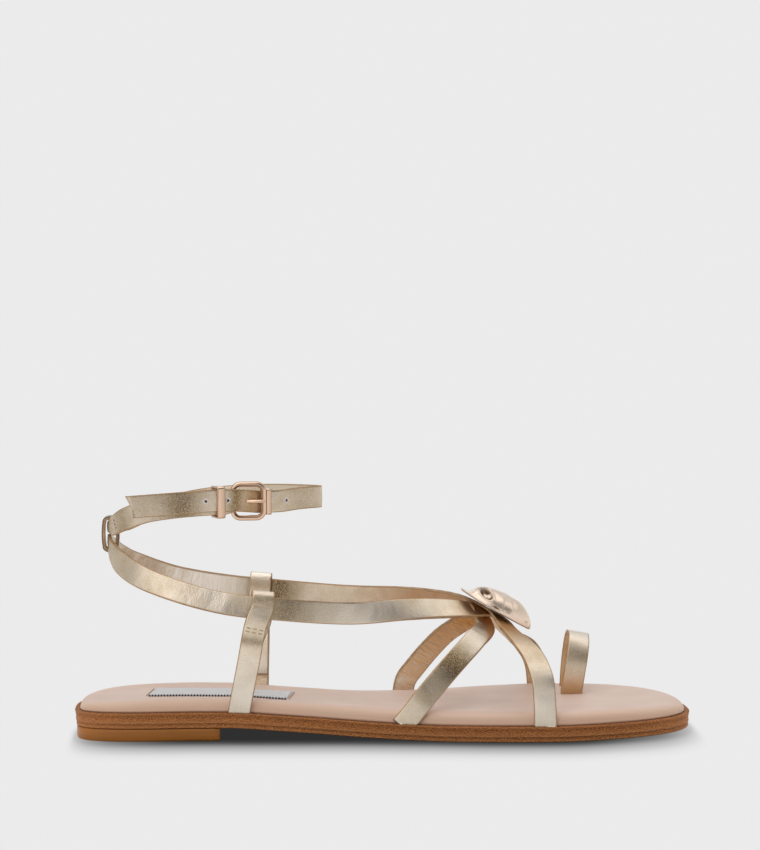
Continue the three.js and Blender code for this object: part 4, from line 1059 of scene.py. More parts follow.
def foot_row(row, **values):
    """Row over the foot: shares of the sole's length, half the ball width and the instep rise."""
    at, out, up, heading, lean = row
    x = at * SOLE_LENGTH
    point = np.array([x, out * BALL_WIDTH / 2, float(footbed_top(x)) + up * INSTEP_RISE])
    return point, direction(heading, lean), values


CROSSING_FACE = direction(0, 90 - INSTEP_SLOPE)
LAYER_STEP = STRAP_THICKNESS * 0.7


def crossing_row(along, out, layer, **values):
    """Middle of the crossing, moved outwards by a number of strap layers."""
    x = CROSSING_AT + along
    z = float(footbed_top(CROSSING_AT)) + INSTEP_RISE - along * math.tan(math.radians(INSTEP_SLOPE))
    return np.array([x, out, z]) + CROSSING_FACE * layer * LAYER_STEP, CROSSING_FACE, values


def long_row(row, **values):
    """Row of the long strap: shares of the way from heel to crossing, of half the side spread, of
    the instep rise and of the heel rise, then heading, lean and width share."""
    along, out, instep, heel, heading, lean, wide = row
    x = HEEL_SETBACK + along * (CROSSING_AT - HEEL_SETBACK)
    z = float(footbed_top(x)) + instep * INSTEP_RISE + heel * HEEL_RISE
    return np.array([x, out * SIDE_SPREAD / 2, z]), direction(heading, lean), {"wide": wide, **values}


FRONT_LATERAL_ROWS = [
    (0.7485, -0.967, 0.15, -88, 3),
    (0.747, -0.94, 0.338, -86, 13),
    (0.742, -0.886, 0.479, -82, 27),
    (0.734, -0.785, 0.612, -76, 40),
    (0.722, -0.645, 0.72, -66, 50),
    (0.7035, -0.36, 0.845, -35, 60),
]
FRONT_MEDIAL_ROWS = [
    (0.77, 0.937, 0.15, 88, 3),
    (0.765, 0.905, 0.29, 86, 14),
    (0.753, 0.83, 0.44, 80, 32),
    (0.735, 0.69, 0.57, 70, 46),
    (0.716, 0.49, 0.68, 50, 55),
    (0.699, 0.27, 0.785, 20, 60),
]
REAR_LATERAL_ROWS = [
    (0.561, -0.785, 0.155, -88, 4),
    (0.5895, -0.715, 0.38, -84, 16),
    (0.6195, -0.59, 0.585, -78, 32),
    (0.6465, -0.41, 0.745, -66, 46),
    (0.666, -0.19, 0.865, -35, 56),
]
REAR_MEDIAL_ROWS = [
    (0.6365, 0.185, 0.865, 40, 56),
    (0.607, 0.385, 0.675, 72, 42),
    (0.5815, 0.53, 0.455, 84, 22),
    (0.56, 0.605, 0.25, 89, 8),
    (0.5455, 0.632, 0.1, 90, 2),
]
LONG_LATERAL_ROWS = [
    (0.923, -0.225, 1.06, 0, -75, 50, 1),
    (0.843, -0.405, 1.09, 0, -86, 36, 1),
    (0.76, -0.585, 1.09, 0, -90, 22, 1),
    (0.622, -0.81, 1.045, 0, -86, 6, 1),
    (0.426, -0.965, 1.05, 0.01, -88, 8, 1),
    (0.293, -1, 1.05, 0.073, -94, 22, 1),
    (0.165, -0.945, 1.05, 0.277, -104, 27, 1),
    (0.079, -0.76, 1.02, 0.505, -122, 22, 1),
    (0.03, -0.47, 1, 0.715, -145, 14, 1),
    (0.006, -0.22, 1, 0.895, -165, 6, 0.66),
    (0.001, -0.09, 1, 0.985, -174, 2, 0.42),
]
HEEL_STRAP_ROW = (0, 0, 1, 1, 180, 1, 0.4)
LONG_MEDIAL_ROWS = [
    (0.001, 0.09, 1, 0.985, 174, 2, 0.42),
    (0.006, 0.22, 1, 0.885, 165, 6, 0.7),
    (0.03, 0.47, 1, 0.68, 145, 12, 0.95),
    (0.079, 0.76, 1.02, 0.475, 122, 16, 1),
    (0.165, 0.94, 1.05, 0.243, 104, 16, 1),
    (0.293, 1, 1.06, 0.078, 94, 10, 1),
    (0.426, 0.96, 1.07, 0.02, 89, 4, 1),
    (0.622, 0.78, 1.085, 0, 85, 6, 1),
    (0.76, 0.56, 1.12, 0, 84, 16, 1),
    (0.843, 0.37, 1.135, 0, 80, 34, 1),
    (0.923, 0.2, 1.105, 0, 70, 50, 1),
]
LEG_LINING = 0.85  # the legs' inner faces are tan, the long strap's are foiled


def long_strap_rows():
    """From the front medial foot over the crossing, along the lateral side, round the heel, back
    along the medial side and over the crossing to the front lateral foot."""
    wrinkles = dict(wrinkle=0.5, lining=0.5)
    return [
        rim_row(0.7725, MEDIAL, -1.0, lining=LEG_LINING),
        rim_row(0.7725, MEDIAL, FOOTBED_THICKNESS * 0.6, lining=LEG_LINING),
        *[foot_row(row, lining=LEG_LINING) for row in FRONT_MEDIAL_ROWS],
        crossing_row(-1, 1.5, -1, thick=0.7, **wrinkles),
        *[long_row(row, wrinkle=0.15) for row in LONG_LATERAL_ROWS],
        long_row(HEEL_STRAP_ROW, wrinkle=0.3),
        *[long_row(row, wrinkle=0.35) for row in LONG_MEDIAL_ROWS],
        crossing_row(0, -1.5, 0, thick=0.7, **wrinkles),
        *[foot_row(row, lining=LEG_LINING) for row in FRONT_LATERAL_ROWS[::-1]],
        rim_row(0.7492, LATERAL, FOOTBED_THICKNESS * 0.6, lining=LEG_LINING),
        rim_row(0.7492, LATERAL, -1.0, lining=LEG_LINING),
    ]


def rear_strap_rows():
    """From the rear lateral foot, under the crossing, to the rear medial foot."""
    medial = dict(wrinkle=1.0, lining=LEG_LINING)
    lateral = dict(wrinkle=0.15, lining=LEG_LINING)
    return [
        rim_row(0.5225, LATERAL, -1.0, **lateral),
        rim_row(0.5357, LATERAL, FOOTBED_THICKNESS * 0.6, **lateral),
        *[foot_row(row, **lateral) for row in REAR_LATERAL_ROWS],
        crossing_row(-6, 0, -2, thick=0.7, **medial),
        *[foot_row(row, **medial) for row in REAR_MEDIAL_ROWS],
        rim_row(0.538, MEDIAL, FOOTBED_THICKNESS * 0.6, **medial),
        rim_row(0.5371, MEDIAL, -1.0, **medial),
    ]


def side_loop_rows(long_path, held_at, side, foot_at, shift):
    """Loop that stands on the rim, passes over the long strap and folds down inside it."""
    held, face = long_path.point[held_at], long_path.face[held_at]
    up = long_path.across[held_at] * np.sign(long_path.across[held_at][2])
    foot, foot_face, _ = rim_row(foot_at, side, 0)
    to_strap = CLEARANCE + 2 * SLACK + STRAP_THICKNESS
    ply_step = STRAP_THICKNESS + CLEARANCE + 1.3 * SLACK
    top = STRAP_WIDTH / 2 + to_strap - STRAP_THICKNESS / 2

    def place(height, out):
        return held + up * height + face * out

    leg_top = place(-STRAP_WIDTH / 2 - to_strap, to_strap) - np.array([shift, 0, 0])

    def leg(share):
        return foot + (leg_top - foot) * share

    def leg_face(share):
        return foot_face + (face - foot_face) * share

    inward = -leg_face(0.5)

    def inner_leg(share):
        return leg(share) + inward * ply_step

    inner_end = 1 - (LOOP_FOLD_DEPTH - STRAP_WIDTH) / np.linalg.norm(leg_top - foot)
    below = foot - np.array([0, 0, 1.0])
    plain = {"lining": LEG_LINING}
    folded = {"wrinkle": 0.3}
    return [
        (below, foot_face, plain),
        (leg(0.08), foot_face, plain),
        (leg(0.55), leg_face(0.55), plain),
        (leg_top, face, plain),
        (place(0, to_strap), face, folded),
        (place(top - to_strap * 0.6, to_strap), face, folded),
        (place(top, to_strap * 0.5), face + up, folded),
        (place(top + 0.2, 0), up, folded),
        (place(top, -to_strap * 0.5), up - face, folded),
        (place(top - to_strap * 0.6, -to_strap), -face, folded),
        (place(0, -to_strap), -face, folded),
        (place(-STRAP_WIDTH / 2 - CLEARANCE, -to_strap * 0.95), -face, folded),
        (inner_leg(0.84), -leg_face(0.84), folded),
        (inner_leg(0.6), -leg_face(0.6), {}),
        (inner_leg(inner_end), -leg_face(inner_end), {}),
    ]


# Toe loop: shares of half the loop's width and of its height, lean to the toe, heading and lean.
TOE_LOOP_ROWS = [
    (-1.0, -0.05, -0.01, -90, 0),
    (-1.0, 0.05, 0.0, -90, 0),
    (-1.04, 0.35, 0.12, -90, 2),
    (-0.95, 0.68, 0.28, -88, 12),
    (-0.6, 0.92, 0.4, -70, 45),
    (0.0, 1.0, 0.44, 0, 80),
    (0.6, 0.91, 0.42, 70, 45),
    (0.94, 0.66, 0.36, 88, 12),
    (1.03, 0.35, 0.28, 90, 2),
    (1.0, 0.05, 0.22, 90, 0),
    (1.0, -0.05, 0.21, 90, 0),
]


def toe_loop_rows():
    """Arch round the big toe: the loop's place plus the table's shares of half its width, of its
    height and, towards the toe, of the strap's width."""
    rows = []
    for out, up, forward, heading, lean in TOE_LOOP_ROWS:
        point = [
            TOE_LOOP_AT + forward * STRAP_WIDTH,
            TOE_LOOP_OUT + out * TOE_LOOP_WIDTH / 2,
            float(footbed_top(TOE_LOOP_AT)) + up * TOE_LOOP_HEIGHT,
        ]
        rows.append((np.array(point), direction(heading, lean), {"lining": 1.0, "wrinkle": 0.1}))
    return rows


# Ankle strap

STRAP_GAP = STRAP_THICKNESS + CLEARANCE
BAR_REACH = WIRE / 2 + CLEARANCE + STRAP_THICKNESS / 2
BUCKLE_HEADING = 21.0
TAIL_TURN = -15.0
KEEPER_AT = -7.2
END_WIDTH = 0.74
RETURN_LENGTH = 9.0


def ankle_row(row):
    """Row of the ankle strap: shares of the loop's length, half width and drop, heading, width."""
    along, out, drop, heading, wide = row
    z = float(footbed_top(0)) + ANKLE_RISE - drop * ANKLE_BACK_DROP
    point = np.array([HEEL_SETBACK + along * ANKLE_LOOP_LENGTH, out * ANKLE_LOOP_WIDTH / 2, z])
    return point, direction(heading, 0), {"wide": wide, "wrinkle": 0.12}


BUCKLE_START = ankle_row((0.585, -0.83, 0.04, BUCKLE_HEADING - 90, 1))[0]
BUCKLE_ALONG = direction(BUCKLE_HEADING, 0)
BUCKLE_OUT = direction(BUCKLE_HEADING - 90, 0)
UP = np.array([0.0, 0.0, 1.0])


def buckle_place(along, out, up=0.0):
    """Point by the buckle: so far along the strap, outwards and up from its start."""
    return BUCKLE_START + BUCKLE_ALONG * along + BUCKLE_OUT * out + UP * up


def buckle_row(along, out, face=BUCKLE_OUT, up=0.0, **values):
    """Row of the ankle strap by the buckle, at such a point."""
    return buckle_place(along, out, up), face, values


ANKLE_LATERAL_ROWS = [
    (0.4, -0.95, 0.08, -83, 1),
    (0.28, -0.91, 0.17, -98, 1),
    (0.17, -0.79, 0.33, -117, 1),
    (0.08, -0.56, 0.62, -137, 1),
    (0.02, -0.25, 0.93, -160, 0.88),
    (0.003, -0.12, 0.985, -171, 0.46),
]
ANKLE_MEDIAL_ROWS = [
    (0, 0, 1, 180, 0.44),
    (0.003, 0.12, 1, 171, 0.46),
    (0.02, 0.25, 0.99, 160, 0.72),
    (0.08, 0.53, 0.9, 137, 0.9),
    (0.17, 0.76, 0.62, 117, 0.95),
    (0.3, 0.93, 0.42, 100, 1),
    (0.45, 0.97, 0.22, 86, 1),
    (0.6, 0.86, 0.1, 73, 1),
    (0.75, 0.6, 0.03, 64, 1),
    (0.89, 0.26, 0, 60, 1),
    (0.965, 0.08, 0, 55, 1),
    (0.983, 0.0, 0, 0, 1),
    (0.965, -0.08, 0, -52, 1),
    (0.89, -0.28, 0, -60, 1),
]


def ankle_strap_rows():
    """From the return behind the hinge bar, round the bar, round the ankle, through the buckle and
    out over the bar to the loose end."""

    def curl(angle):
        turn = math.radians(angle)
        place = buckle_place(BAR_REACH * math.sin(turn), -BAR_REACH + BAR_REACH * math.cos(turn))
        return place, direction(BUCKLE_HEADING - 90 + angle, 0), {"wide": END_WIDTH}

    tail_along = direction(BUCKLE_HEADING + TAIL_TURN, 0)
    tail_out = direction(BUCKLE_HEADING + TAIL_TURN - 90, 0)
    tail_start = buckle_place(KEEPER_AT - 2, STRAP_GAP, TAIL_RISE)

    def tail(share):
        return tail_start - tail_along * share * TAIL_LENGTH - UP * share * TAIL_DROP, tail_out, {}

    return [
        buckle_row(-RETURN_LENGTH, -STRAP_GAP, -BUCKLE_OUT, wide=END_WIDTH),
        buckle_row(-RETURN_LENGTH * 0.6, -STRAP_GAP * 1.2, -BUCKLE_OUT, wide=END_WIDTH),
        *[curl(angle) for angle in (180, 135, 90, 45, 0)],
        buckle_row(-4, 0),
        buckle_row(-9, 0),
        *[ankle_row(row) for row in ANKLE_LATERAL_ROWS],
        *[ankle_row(row) for row in ANKLE_MEDIAL_ROWS],
        buckle_row(BUCKLE_LENGTH + 8, 0),
        buckle_row(BUCKLE_LENGTH + 3.5, -SLACK),
        buckle_row(BUCKLE_LENGTH, -SLACK),
        buckle_row(BUCKLE_LENGTH * 0.5, STRAP_GAP * 0.5, up=TAIL_RISE * 0.4),
        buckle_row(0, STRAP_GAP, up=TAIL_RISE * 0.8),
        (tail_start, BUCKLE_OUT, {}),
        tail(0.33),
        tail(0.66),
        tail(1),
    ]


def mark_holes(path):
    """The row of holes: a dark disc of painted shade for the inside of each hole, within a pressed pale
    rim, on the outer face.
    """
    over_bar = buckle_place(BUCKLE_LENGTH * 0.5, STRAP_GAP * 0.5, TAIL_RISE * 0.4)
    prong = path.nearest(over_bar, after=path.length * 0.6)
    turn = np.linspace(0, 2 * math.pi, HOLE_SIDES, endpoint=False)
    fan = [[i, (i + 1) % HOLE_SIDES, HOLE_SIDES] for i in range(HOLE_SIDES)]
    rims, marks = [], []
    for step in HOLES:
        k = int(np.argmin(np.abs(path.at - (path.at[prong] + HOLE_SHIFT + step * HOLE_STEP))))
        face = path.face[k]
        middle = path.point[k] + face * (STRAP_THICKNESS / 2 + TRIM_LIFT)
        ring = np.cos(turn)[:, None] * path.tangent[k] + np.sin(turn)[:, None] * path.across[k]
        line = middle + ring * (HOLE_RADIUS + 0.1)
        rims.append(tube_mesh(line, ring, np.tile(face, (HOLE_SIDES, 1)), 0.27, 10))
        # A dark disc of painted shade stands for the inside of the hole.
        disc = np.concatenate([middle + ring * HOLE_RADIUS, [middle - face * 0.02]])
        marks.append((disc + face * 0.06, fan))
    for name, parts, material in (("hole_rims", rims, "hole_rim"), ("hole_shades", marks, "hole_shade")):
        points, faces = joined(parts)
        add_piece(name, points, faces, [material], "ankle_strap", weld=False)


# Heel tab


def tab_line():
    """The closed line that the heel tab follows round the two straps, in the x-z plane."""
    upper = ankle_row(ANKLE_MEDIAL_ROWS[0])[0]
    lower = long_row(HEEL_STRAP_ROW)[0]
    room = 1.0
    reach = STRAP_THICKNESS + CLEARANCE
    around = CLEARANCE + STRAP_THICKNESS / 2
    top = upper[2] + ANKLE_MEDIAL_ROWS[0][4] * STRAP_WIDTH / 2 + around + room * 0.6
    bottom = lower[2] - HEEL_STRAP_ROW[6] * STRAP_WIDTH / 2 - around - room * 1.75
    height = top - bottom
    front = max(upper[0], lower[0]) + reach + room
    back = min(upper[0], lower[0]) - reach - SLACK
    bulge = 0.4
    return np.array([
        (back + 0.2, 0, bottom + 0.8),
        (back - bulge * 0.4, 0, bottom + 0.2 * height),
        (back - bulge, 0, bottom + 0.45 * height),
        (back - bulge * 0.3, 0, bottom + 0.82 * height),
        (back + 0.3, 0, top - 0.6),
        ((back + front) / 2, 0, top + 0.2),
        (front - 0.1, 0, top - 0.6),
        (front + 0.2, 0, bottom + 0.8 * height),
        (front + 0.8, 0, bottom + 0.45 * height),
        (front + 0.5, 0, bottom + 0.2 * height),
        (front + 0.2, 0, bottom + 0.7),
        ((back + front) / 2 + 0.2, 0, bottom - 0.2),
    ])


def make_heel_tab():
    """The tab: the strap's section, narrowed to the tab's width, swept round the closed line. Its
    cut edge is dark on the outer half and tan on the inner half."""
    line = tab_line()
    wrapped = np.concatenate([line[-3:], line, line[:4]])
    dense = catmull_rom(wrapped, np.linspace(0, 1, 1200))
    last = len(wrapped) - 1
    dense = dense[int(1200 * 3 / last) : int(1200 * (3 + len(line)) / last)]
    length = np.concatenate([[0], np.cumsum(np.linalg.norm(np.diff(dense, axis=0), axis=1))])
    at = np.linspace(0, length[-1], TAB_STEPS, endpoint=False)
    points = np.stack([np.interp(at, length, dense[:, k]) for k in range(3)], 1)
    tangent = unit(np.roll(points, -1, 0) - np.roll(points, 1, 0))
    outward = np.stack([-tangent[:, 2], np.zeros(len(points)), tangent[:, 0]], 1)
    section = strap_section()
    half = TAB_WIDTH / 2
    out = section[:, 1] * STRAP_THICKNESS / 2 + 0.06 * (1 - section[:, 0] ** 2) * (section[:, 1] > 0.99)
    ring = points[:, None] + outward[:, None] * out[None, :, None]
    ring = ring + np.array([0, 1.0, 0]) * (section[:, 0] * half)[None, :, None]
    faces = grid_faces(len(points), len(section), closed_rows=True, closed_columns=True)
    inner_edge = (section[:, 2] == 1) & (section[:, 1] < 0.4)
    slots = np.tile(np.where(inner_edge, 3, section[:, 2]), len(points))
    uv = np.stack([np.repeat(at, len(section)), np.tile(section[:, 0] * half, len(points))], 1)
    whole = ring.shape[0] * ring.shape[1]
    # The tone paint at one half darkens the whole tab with painted dark reflection.
    paint = {"wrinkle": np.full(whole, 0.25), "lining": np.ones(whole), "tone": np.full(whole, 0.5)}
    materials = ["strap_leather", "tab_edge", "strap_lining", "strap_edge"]
    points = ring.reshape(-1, 3)
    add_piece("heel_tab_fine", points, faces, materials, "heel_tab", slots=slots, uv=uv, paint=paint)


# Buckle

FRAME_RISE = TAIL_RISE * 0.4
HINGE = buckle_place(0, -BAR_REACH, FRAME_RISE)
FRONT_BAR = buckle_place(BUCKLE_LENGTH, BAR_REACH + SLACK, FRAME_RISE)
FRAME_ALONG = unit(FRONT_BAR - HINGE)
FRAME_UP = unit(UP - FRAME_ALONG * FRAME_ALONG[2])
FRAME_OUT = np.cross(FRAME_ALONG, FRAME_UP)
FRAME_REACH = float(np.linalg.norm(FRONT_BAR - HINGE))


def frame_place(points):
    """Points of the buckle's plane: x along the frame, y up and z outwards."""
    points = np.asarray(points, float)
    along, up, out = points[..., :1], points[..., 1:2], points[..., 2:3]
    return HINGE + along * FRAME_ALONG + up * FRAME_UP + out * FRAME_OUT


def make_buckle_frame():
    """The frame: a wire bent to a rounded rectangle. Its section is a circle with both directions
    raised to the power 0.8, and three dark lines of painted reflection run round it."""
    half = BUCKLE_HEIGHT / 2
    corners = [
        (FRAME_REACH - BUCKLE_CORNER, -half + BUCKLE_CORNER, -90),
        (FRAME_REACH - BUCKLE_CORNER, half - BUCKLE_CORNER, 0),
        (BUCKLE_CORNER, half - BUCKLE_CORNER, 90),
        (BUCKLE_CORNER, -half + BUCKLE_CORNER, 180),
    ]
    angles = np.radians(np.concatenate([start + np.linspace(0, 90, 15) for _, _, start in corners]))
    middles = np.repeat([[x, y] for x, y, _ in corners], 15, axis=0)
    out = np.stack([np.cos(angles), np.sin(angles), np.zeros(len(angles))], 1)
    line = np.column_stack([middles, np.zeros(len(angles))]) + out * BUCKLE_CORNER
    turn = np.linspace(0, 2 * math.pi, 24, endpoint=False)
    squared = [np.sign(f(turn)) * np.abs(f(turn)) ** 0.8 for f in (np.cos, np.sin)]
    outwards, upwards = out[:, None], np.array([0, 0, 1.0])
    ring = squared[0][None, :, None] * outwards + squared[1][None, :, None] * upwards
    points = line[:, None] + ring * WIRE / 2
    faces = grid_faces(len(line), len(turn), closed_rows=True, closed_columns=True)
    piece = frame_place(points.reshape(-1, 3))
    # Three dark lines of painted reflection round the wire.
    shade_and_reflection = 0.9 * bump(turn, 1.95, 0.33) + 0.8 * bump(turn, 0.3, 0.35) + 0.5 * bump(turn, 3.14, 0.4)
    paint = {"shade_and_reflection": np.tile(shade_and_reflection, len(line))}
    add_piece("buckle_frame_fine", piece, faces, ["buckle"], "buckle_frame", paint=paint)


def make_prong():
    """The prong: a wire eye round the hinge bar that runs out into a tapered pin over the front
    bar, where its tip is slightly bent down."""
    eye = WIRE / 2 + CLEARANCE + 0.45
    turn = np.radians(np.linspace(20, 340, PRONG_STEPS))
    zero = np.zeros(PRONG_STEPS)
    ring = np.stack([eye * np.cos(turn), zero, eye * np.sin(turn)], 1)
    tip_out = WIRE / 2 + CLEARANCE + PRONG_WIDTH / 2
    along = np.linspace(eye, FRAME_REACH + WIRE * 0.42, PRONG_STEPS)
    bend = 0.35 * ease(along, FRAME_REACH * 0.9, FRAME_REACH * 1.1)
    pin = np.stack([along, zero, tip_out * ease(along, eye, FRAME_REACH * 0.75) - bend], 1)
    slim = PRONG_WIDTH / 2 * (1 - 0.25 * ease(along, 2, FRAME_REACH))
    rounded = np.sqrt(np.clip(1 - np.linspace(-1, 1, PRONG_STEPS) ** 12, 0.02, 1))
    side = np.tile([0.0, 1.0, 0.0], (PRONG_STEPS, 1))
    parts = []
    for line, radius in ((ring, 0.5), (pin, slim)):
        tangent = unit(np.gradient(line, axis=0))
        points, faces = tube_mesh(line, side, np.cross(tangent, side), radius * rounded, 18, closed=False)
        parts.append((frame_place(points), faces))
    points, faces = joined(parts)
    add_piece("buckle_prong_fine", points, faces, ["buckle"], "buckle_prong")


# Section of a metal band: share of the wall outwards, share of the band's width and the amount of
# painted dark reflection.
BAND_SECTION = [
    (0.0, -0.44, 0.2),
    (0.22, -0.5, 0.3),
    (0.75, -0.5, 0.35),
    (0.95, -0.42, 0.2),
    (1.0, -0.3, 0.0),
    (1.0, 0.3, 0.3),
    (0.95, 0.42, 0.5),
    (0.75, 0.5, 0.6),
    (0.22, 0.5, 0.4),
    (0.0, 0.44, 0.3),
]


def band_piece(name, node, along, out, up, inner_depth, inner_height, width, wall):
    """A ring of sheet metal round the strap with rounded corners and softened edges."""
    corner = 0.55
    half = np.array([inner_depth, inner_height]) / 2
    angles = np.radians(np.concatenate([start + np.linspace(0, 90, 9) for start in (0, 90, 180, 270)]))
    signs = np.repeat([(1, 1), (-1, 1), (-1, -1), (1, -1)], 9, axis=0)
    middle = signs * (half - corner * 0.4)
    out_dir = np.stack([np.cos(angles), np.sin(angles)], 1)
    rows = []
    for share, across, _ in BAND_SECTION:
        line = middle + out_dir * (corner * 0.4 + share * wall)
        rows.append(
            buckle_place(0, 0)
            + BUCKLE_OUT * (out + line[:, :1])
            + UP * (up + line[:, 1:])
            + BUCKLE_ALONG * (along + across * width)
        )
    points = np.stack(rows, 1).reshape(-1, 3)
    faces = grid_faces(len(angles), len(BAND_SECTION), closed_rows=True, closed_columns=True)
    # Painted dark reflection across the band's section.
    shade_and_reflection = np.tile([row[2] for row in BAND_SECTION], len(angles))
    add_piece(name, points, faces, ["buckle"], node, paint={"shade_and_reflection": shade_and_reflection})


# Ornament

# Height of the nugget along its middle: share of its length from the upper end, and share of its
# height above the base plate.
DOME_ROWS = [
    (0.0, 0.0),
    (0.1, 0.0),
    (0.125, 0.16),
    (0.15, 0.38),
    (0.19, 0.56),
    (0.253, 0.73),
    (0.347, 0.88),
    (0.43, 0.96),
    (0.534, 1.0),
    (0.686, 1.0),
    (0.784, 0.89),
    (0.863, 0.71),
    (0.928, 0.486),
    (0.972, 0.26),
    (1.0, 0.0),
]


# Base plate of the nugget from its middle outwards and up: share of the rim, height, and the amount
# of painted shade and dark reflection.
PLATE_ROWS = [
    (0.0002, 0.0, 0.6),
    (0.9, 0.0, 0.6),
    (0.975, 0.0, 0.6),
    (0.992, 0.08, 0.6),
    (1.0, 0.25, 0.55),
    (1.004, 0.5, 0.35),
    (1.002, 0.8, 0.1),
]


def nugget_taper(angle):
    """Width of the nugget's oval against that of an ellipse: it is fuller at its upper end."""
    return 1 - 0.08 * np.cos(angle) - 0.06 * np.cos(2 * angle)


def ornament_detail(along, height, side):
    """Depth of the hand-formed marks and the amount of painted shade and dark reflection in them, placed
    in the side view of the nugget: along it and up from its seat. One oval dent with a raised lip, a
    pinched fold that runs down from the crown with a small pocket at its foot, a long flat facet and a
    tuck towards the toe."""
    shown = ease(side, -0.05, 0.12)
    ring = np.hypot((along + 7.4) / 3.3, (height - 4.3 + 0.12 * (along + 7.4)) / 1.75)
    depth = 1.5 * (1 - ease(ring, 0.45, 1.0)) - 0.28 * bump(ring, 1.12, 0.17)
    button = np.hypot((along + 6.1) / 1.2, (height - 4.6) / 0.8)
    depth = depth - 0.7 * bump(button, 0, 0.9)
    fold = along - 0.8 + 0.35 * (height - 4.5)
    depth = depth + 0.35 * ease(fold, -0.3, 0.05) * (1 - ease(fold, 0.1, 5.5)) * ease(height, 1.4, 2.6)
    pocket = np.hypot((along + 1.4) / 2.4, (height - 1.5) / 0.5)
    depth = depth + 0.7 * (1 - ease(pocket, 0.4, 1.0))
    facet = (along - 7.0) / 7.5 + (height - 3.4) / 9.0
    depth = depth + 0.12 * bump(facet, 0.0, 0.12) * ease(along, 2.5, 5.0)
    tuck = np.hypot((along - 13.2) / 1.0, (height - 1.7) / 1.1)
    depth = depth + 0.45 * (1 - ease(tuck, 0.5, 1.0))
    # Painted shade and dark reflection: a dark ring in the dent round its button, the pocket, and along the
    # fold.
    shade_and_reflection = 1.1 * bump(ring, 0.62, 0.34) * ease(button, 0.5, 1.1) + 0.9 * (1 - ease(pocket, 0.3, 1.0))
    shade_and_reflection = shade_and_reflection + 0.85 * bump(fold, -0.1, 0.3) * ease(height, 1.3, 2.2) * (1 - ease(height, 3.2, 5.5))
    return depth * shown, np.clip(shade_and_reflection, 0, 1) * shown


def make_ornament():
    """The nugget: an oval base plate that shows at the upper end, and a dome on it.

    The dome's height is the table's value along it times a superellipse across it. Its surface is
    then pushed in along its own normal by the marks, and by slow facets of hand polishing.
    """
    downhill = direction(0, -INSTEP_SLOPE)
    seat = crossing_row(0, 0, 0)[0] + CROSSING_FACE * (STRAP_THICKNESS / 2 + CLEARANCE + SLACK)
    seat = seat + downhill * ORNAMENT_SHIFT
    count, rings = ORNAMENT_STEPS, ORNAMENT_RINGS
    turn = np.linspace(0, 2 * math.pi, count, endpoint=False)
    half_out = ORNAMENT_WIDTH * nugget_taper(turn) * np.sin(turn) / 2
    rim = np.stack([ORNAMENT_LENGTH * np.cos(turn) / 2, half_out], 1)

    def height_at(x, y):
        angle = np.arccos(np.clip(2 * x / ORNAMENT_LENGTH, -1, 1))
        reach = ORNAMENT_WIDTH / 2 * nugget_taper(angle) * np.sin(angle)
        across = np.clip(np.abs(y) / np.maximum(reach, 0.2), 0, 1)
        body = (1 - across**2.6) ** 0.55
        return (ORNAMENT_HEIGHT - ORNAMENT_PLATE) * smooth(DOME_ROWS, 1, x / ORNAMENT_LENGTH + 0.5) * body

    shares = np.sin(0.5 * math.pi * np.linspace(1, 0, rings + 1) ** 0.8)
    shares[-1] = 0.0002
    dome = np.concatenate([rim * share for share in shares]).reshape(rings + 1, count, 2)
    up = height_at(dome[..., 0], dome[..., 1])
    up[0] = 0.0
    surface = np.dstack([dome, up + ORNAMENT_PLATE])
    turned = np.cross(np.roll(surface, -1, 1) - np.roll(surface, 1, 1), np.gradient(surface, axis=0))
    normal = turned / np.maximum(np.linalg.norm(turned, axis=-1, keepdims=True), 1e-9)
    normal = normal * np.where(normal[..., 2:] < 0, -1.0, 1.0)
    depth, shade_and_reflection = ornament_detail(surface[..., 0], surface[..., 2], -surface[..., 1] / ORNAMENT_WIDTH)
    slow = 0.10 * ripple(surface[..., 0] + 0.7 * surface[..., 1], 3, 15) * ripple(surface[..., 1], 4, 11)
    on_dome = ease(up, 0.15, 1.2)
    surface = surface - normal * ((depth + slow) * on_dome)[..., None]
    surface[..., 2] = np.maximum(surface[..., 2], ORNAMENT_PLATE - 0.05)
    plate = [np.column_stack([rim * share, np.full(count, z)]) for share, z, _ in PLATE_ROWS]
    local = np.concatenate([*plate, surface.reshape(-1, 3)])
    # Painted shade and dark reflection on the plate and in the marks.
    paint = {"shade_and_reflection": np.concatenate([np.repeat([row[2] for row in PLATE_ROWS], count), shade_and_reflection.ravel()])}
    across = np.array([0, 1.0, 0])
    points = seat + local[:, :1] * downhill + local[:, 1:2] * across + local[:, 2:] * CROSSING_FACE
    faces = grid_faces(len(PLATE_ROWS) + rings + 1, count, closed_columns=True)
    add_piece("ornament_nugget", points, faces, ["ornament"], "ornament", paint=paint)


# Small trim


def stitch_row(name, centres, along, out, length, radius, material, node):
    """Stitches as short thread capsules: each is a tube that arches out of the surface by the
    radius times 1.3 (1 - share^2) - 0.4."""
    share = np.linspace(-1, 1, 11)
    lift = radius * 1.3 * (1 - share**2) - radius * 0.4
    bow = along * (share * length / 2)[:, None] + out * lift[:, None]
    size = radius * np.sqrt(np.clip(1.02 - share**6, 0.05, 1))
    sides = np.tile(np.cross(out, along), (len(share), 1))
    ups = np.tile(out, (len(share), 1))
    parts = [tube_mesh(centre + bow, sides, ups, size, 8, closed=False) for centre in centres]
    points, faces = joined(parts)
    add_piece(name, points, faces, [material], node)


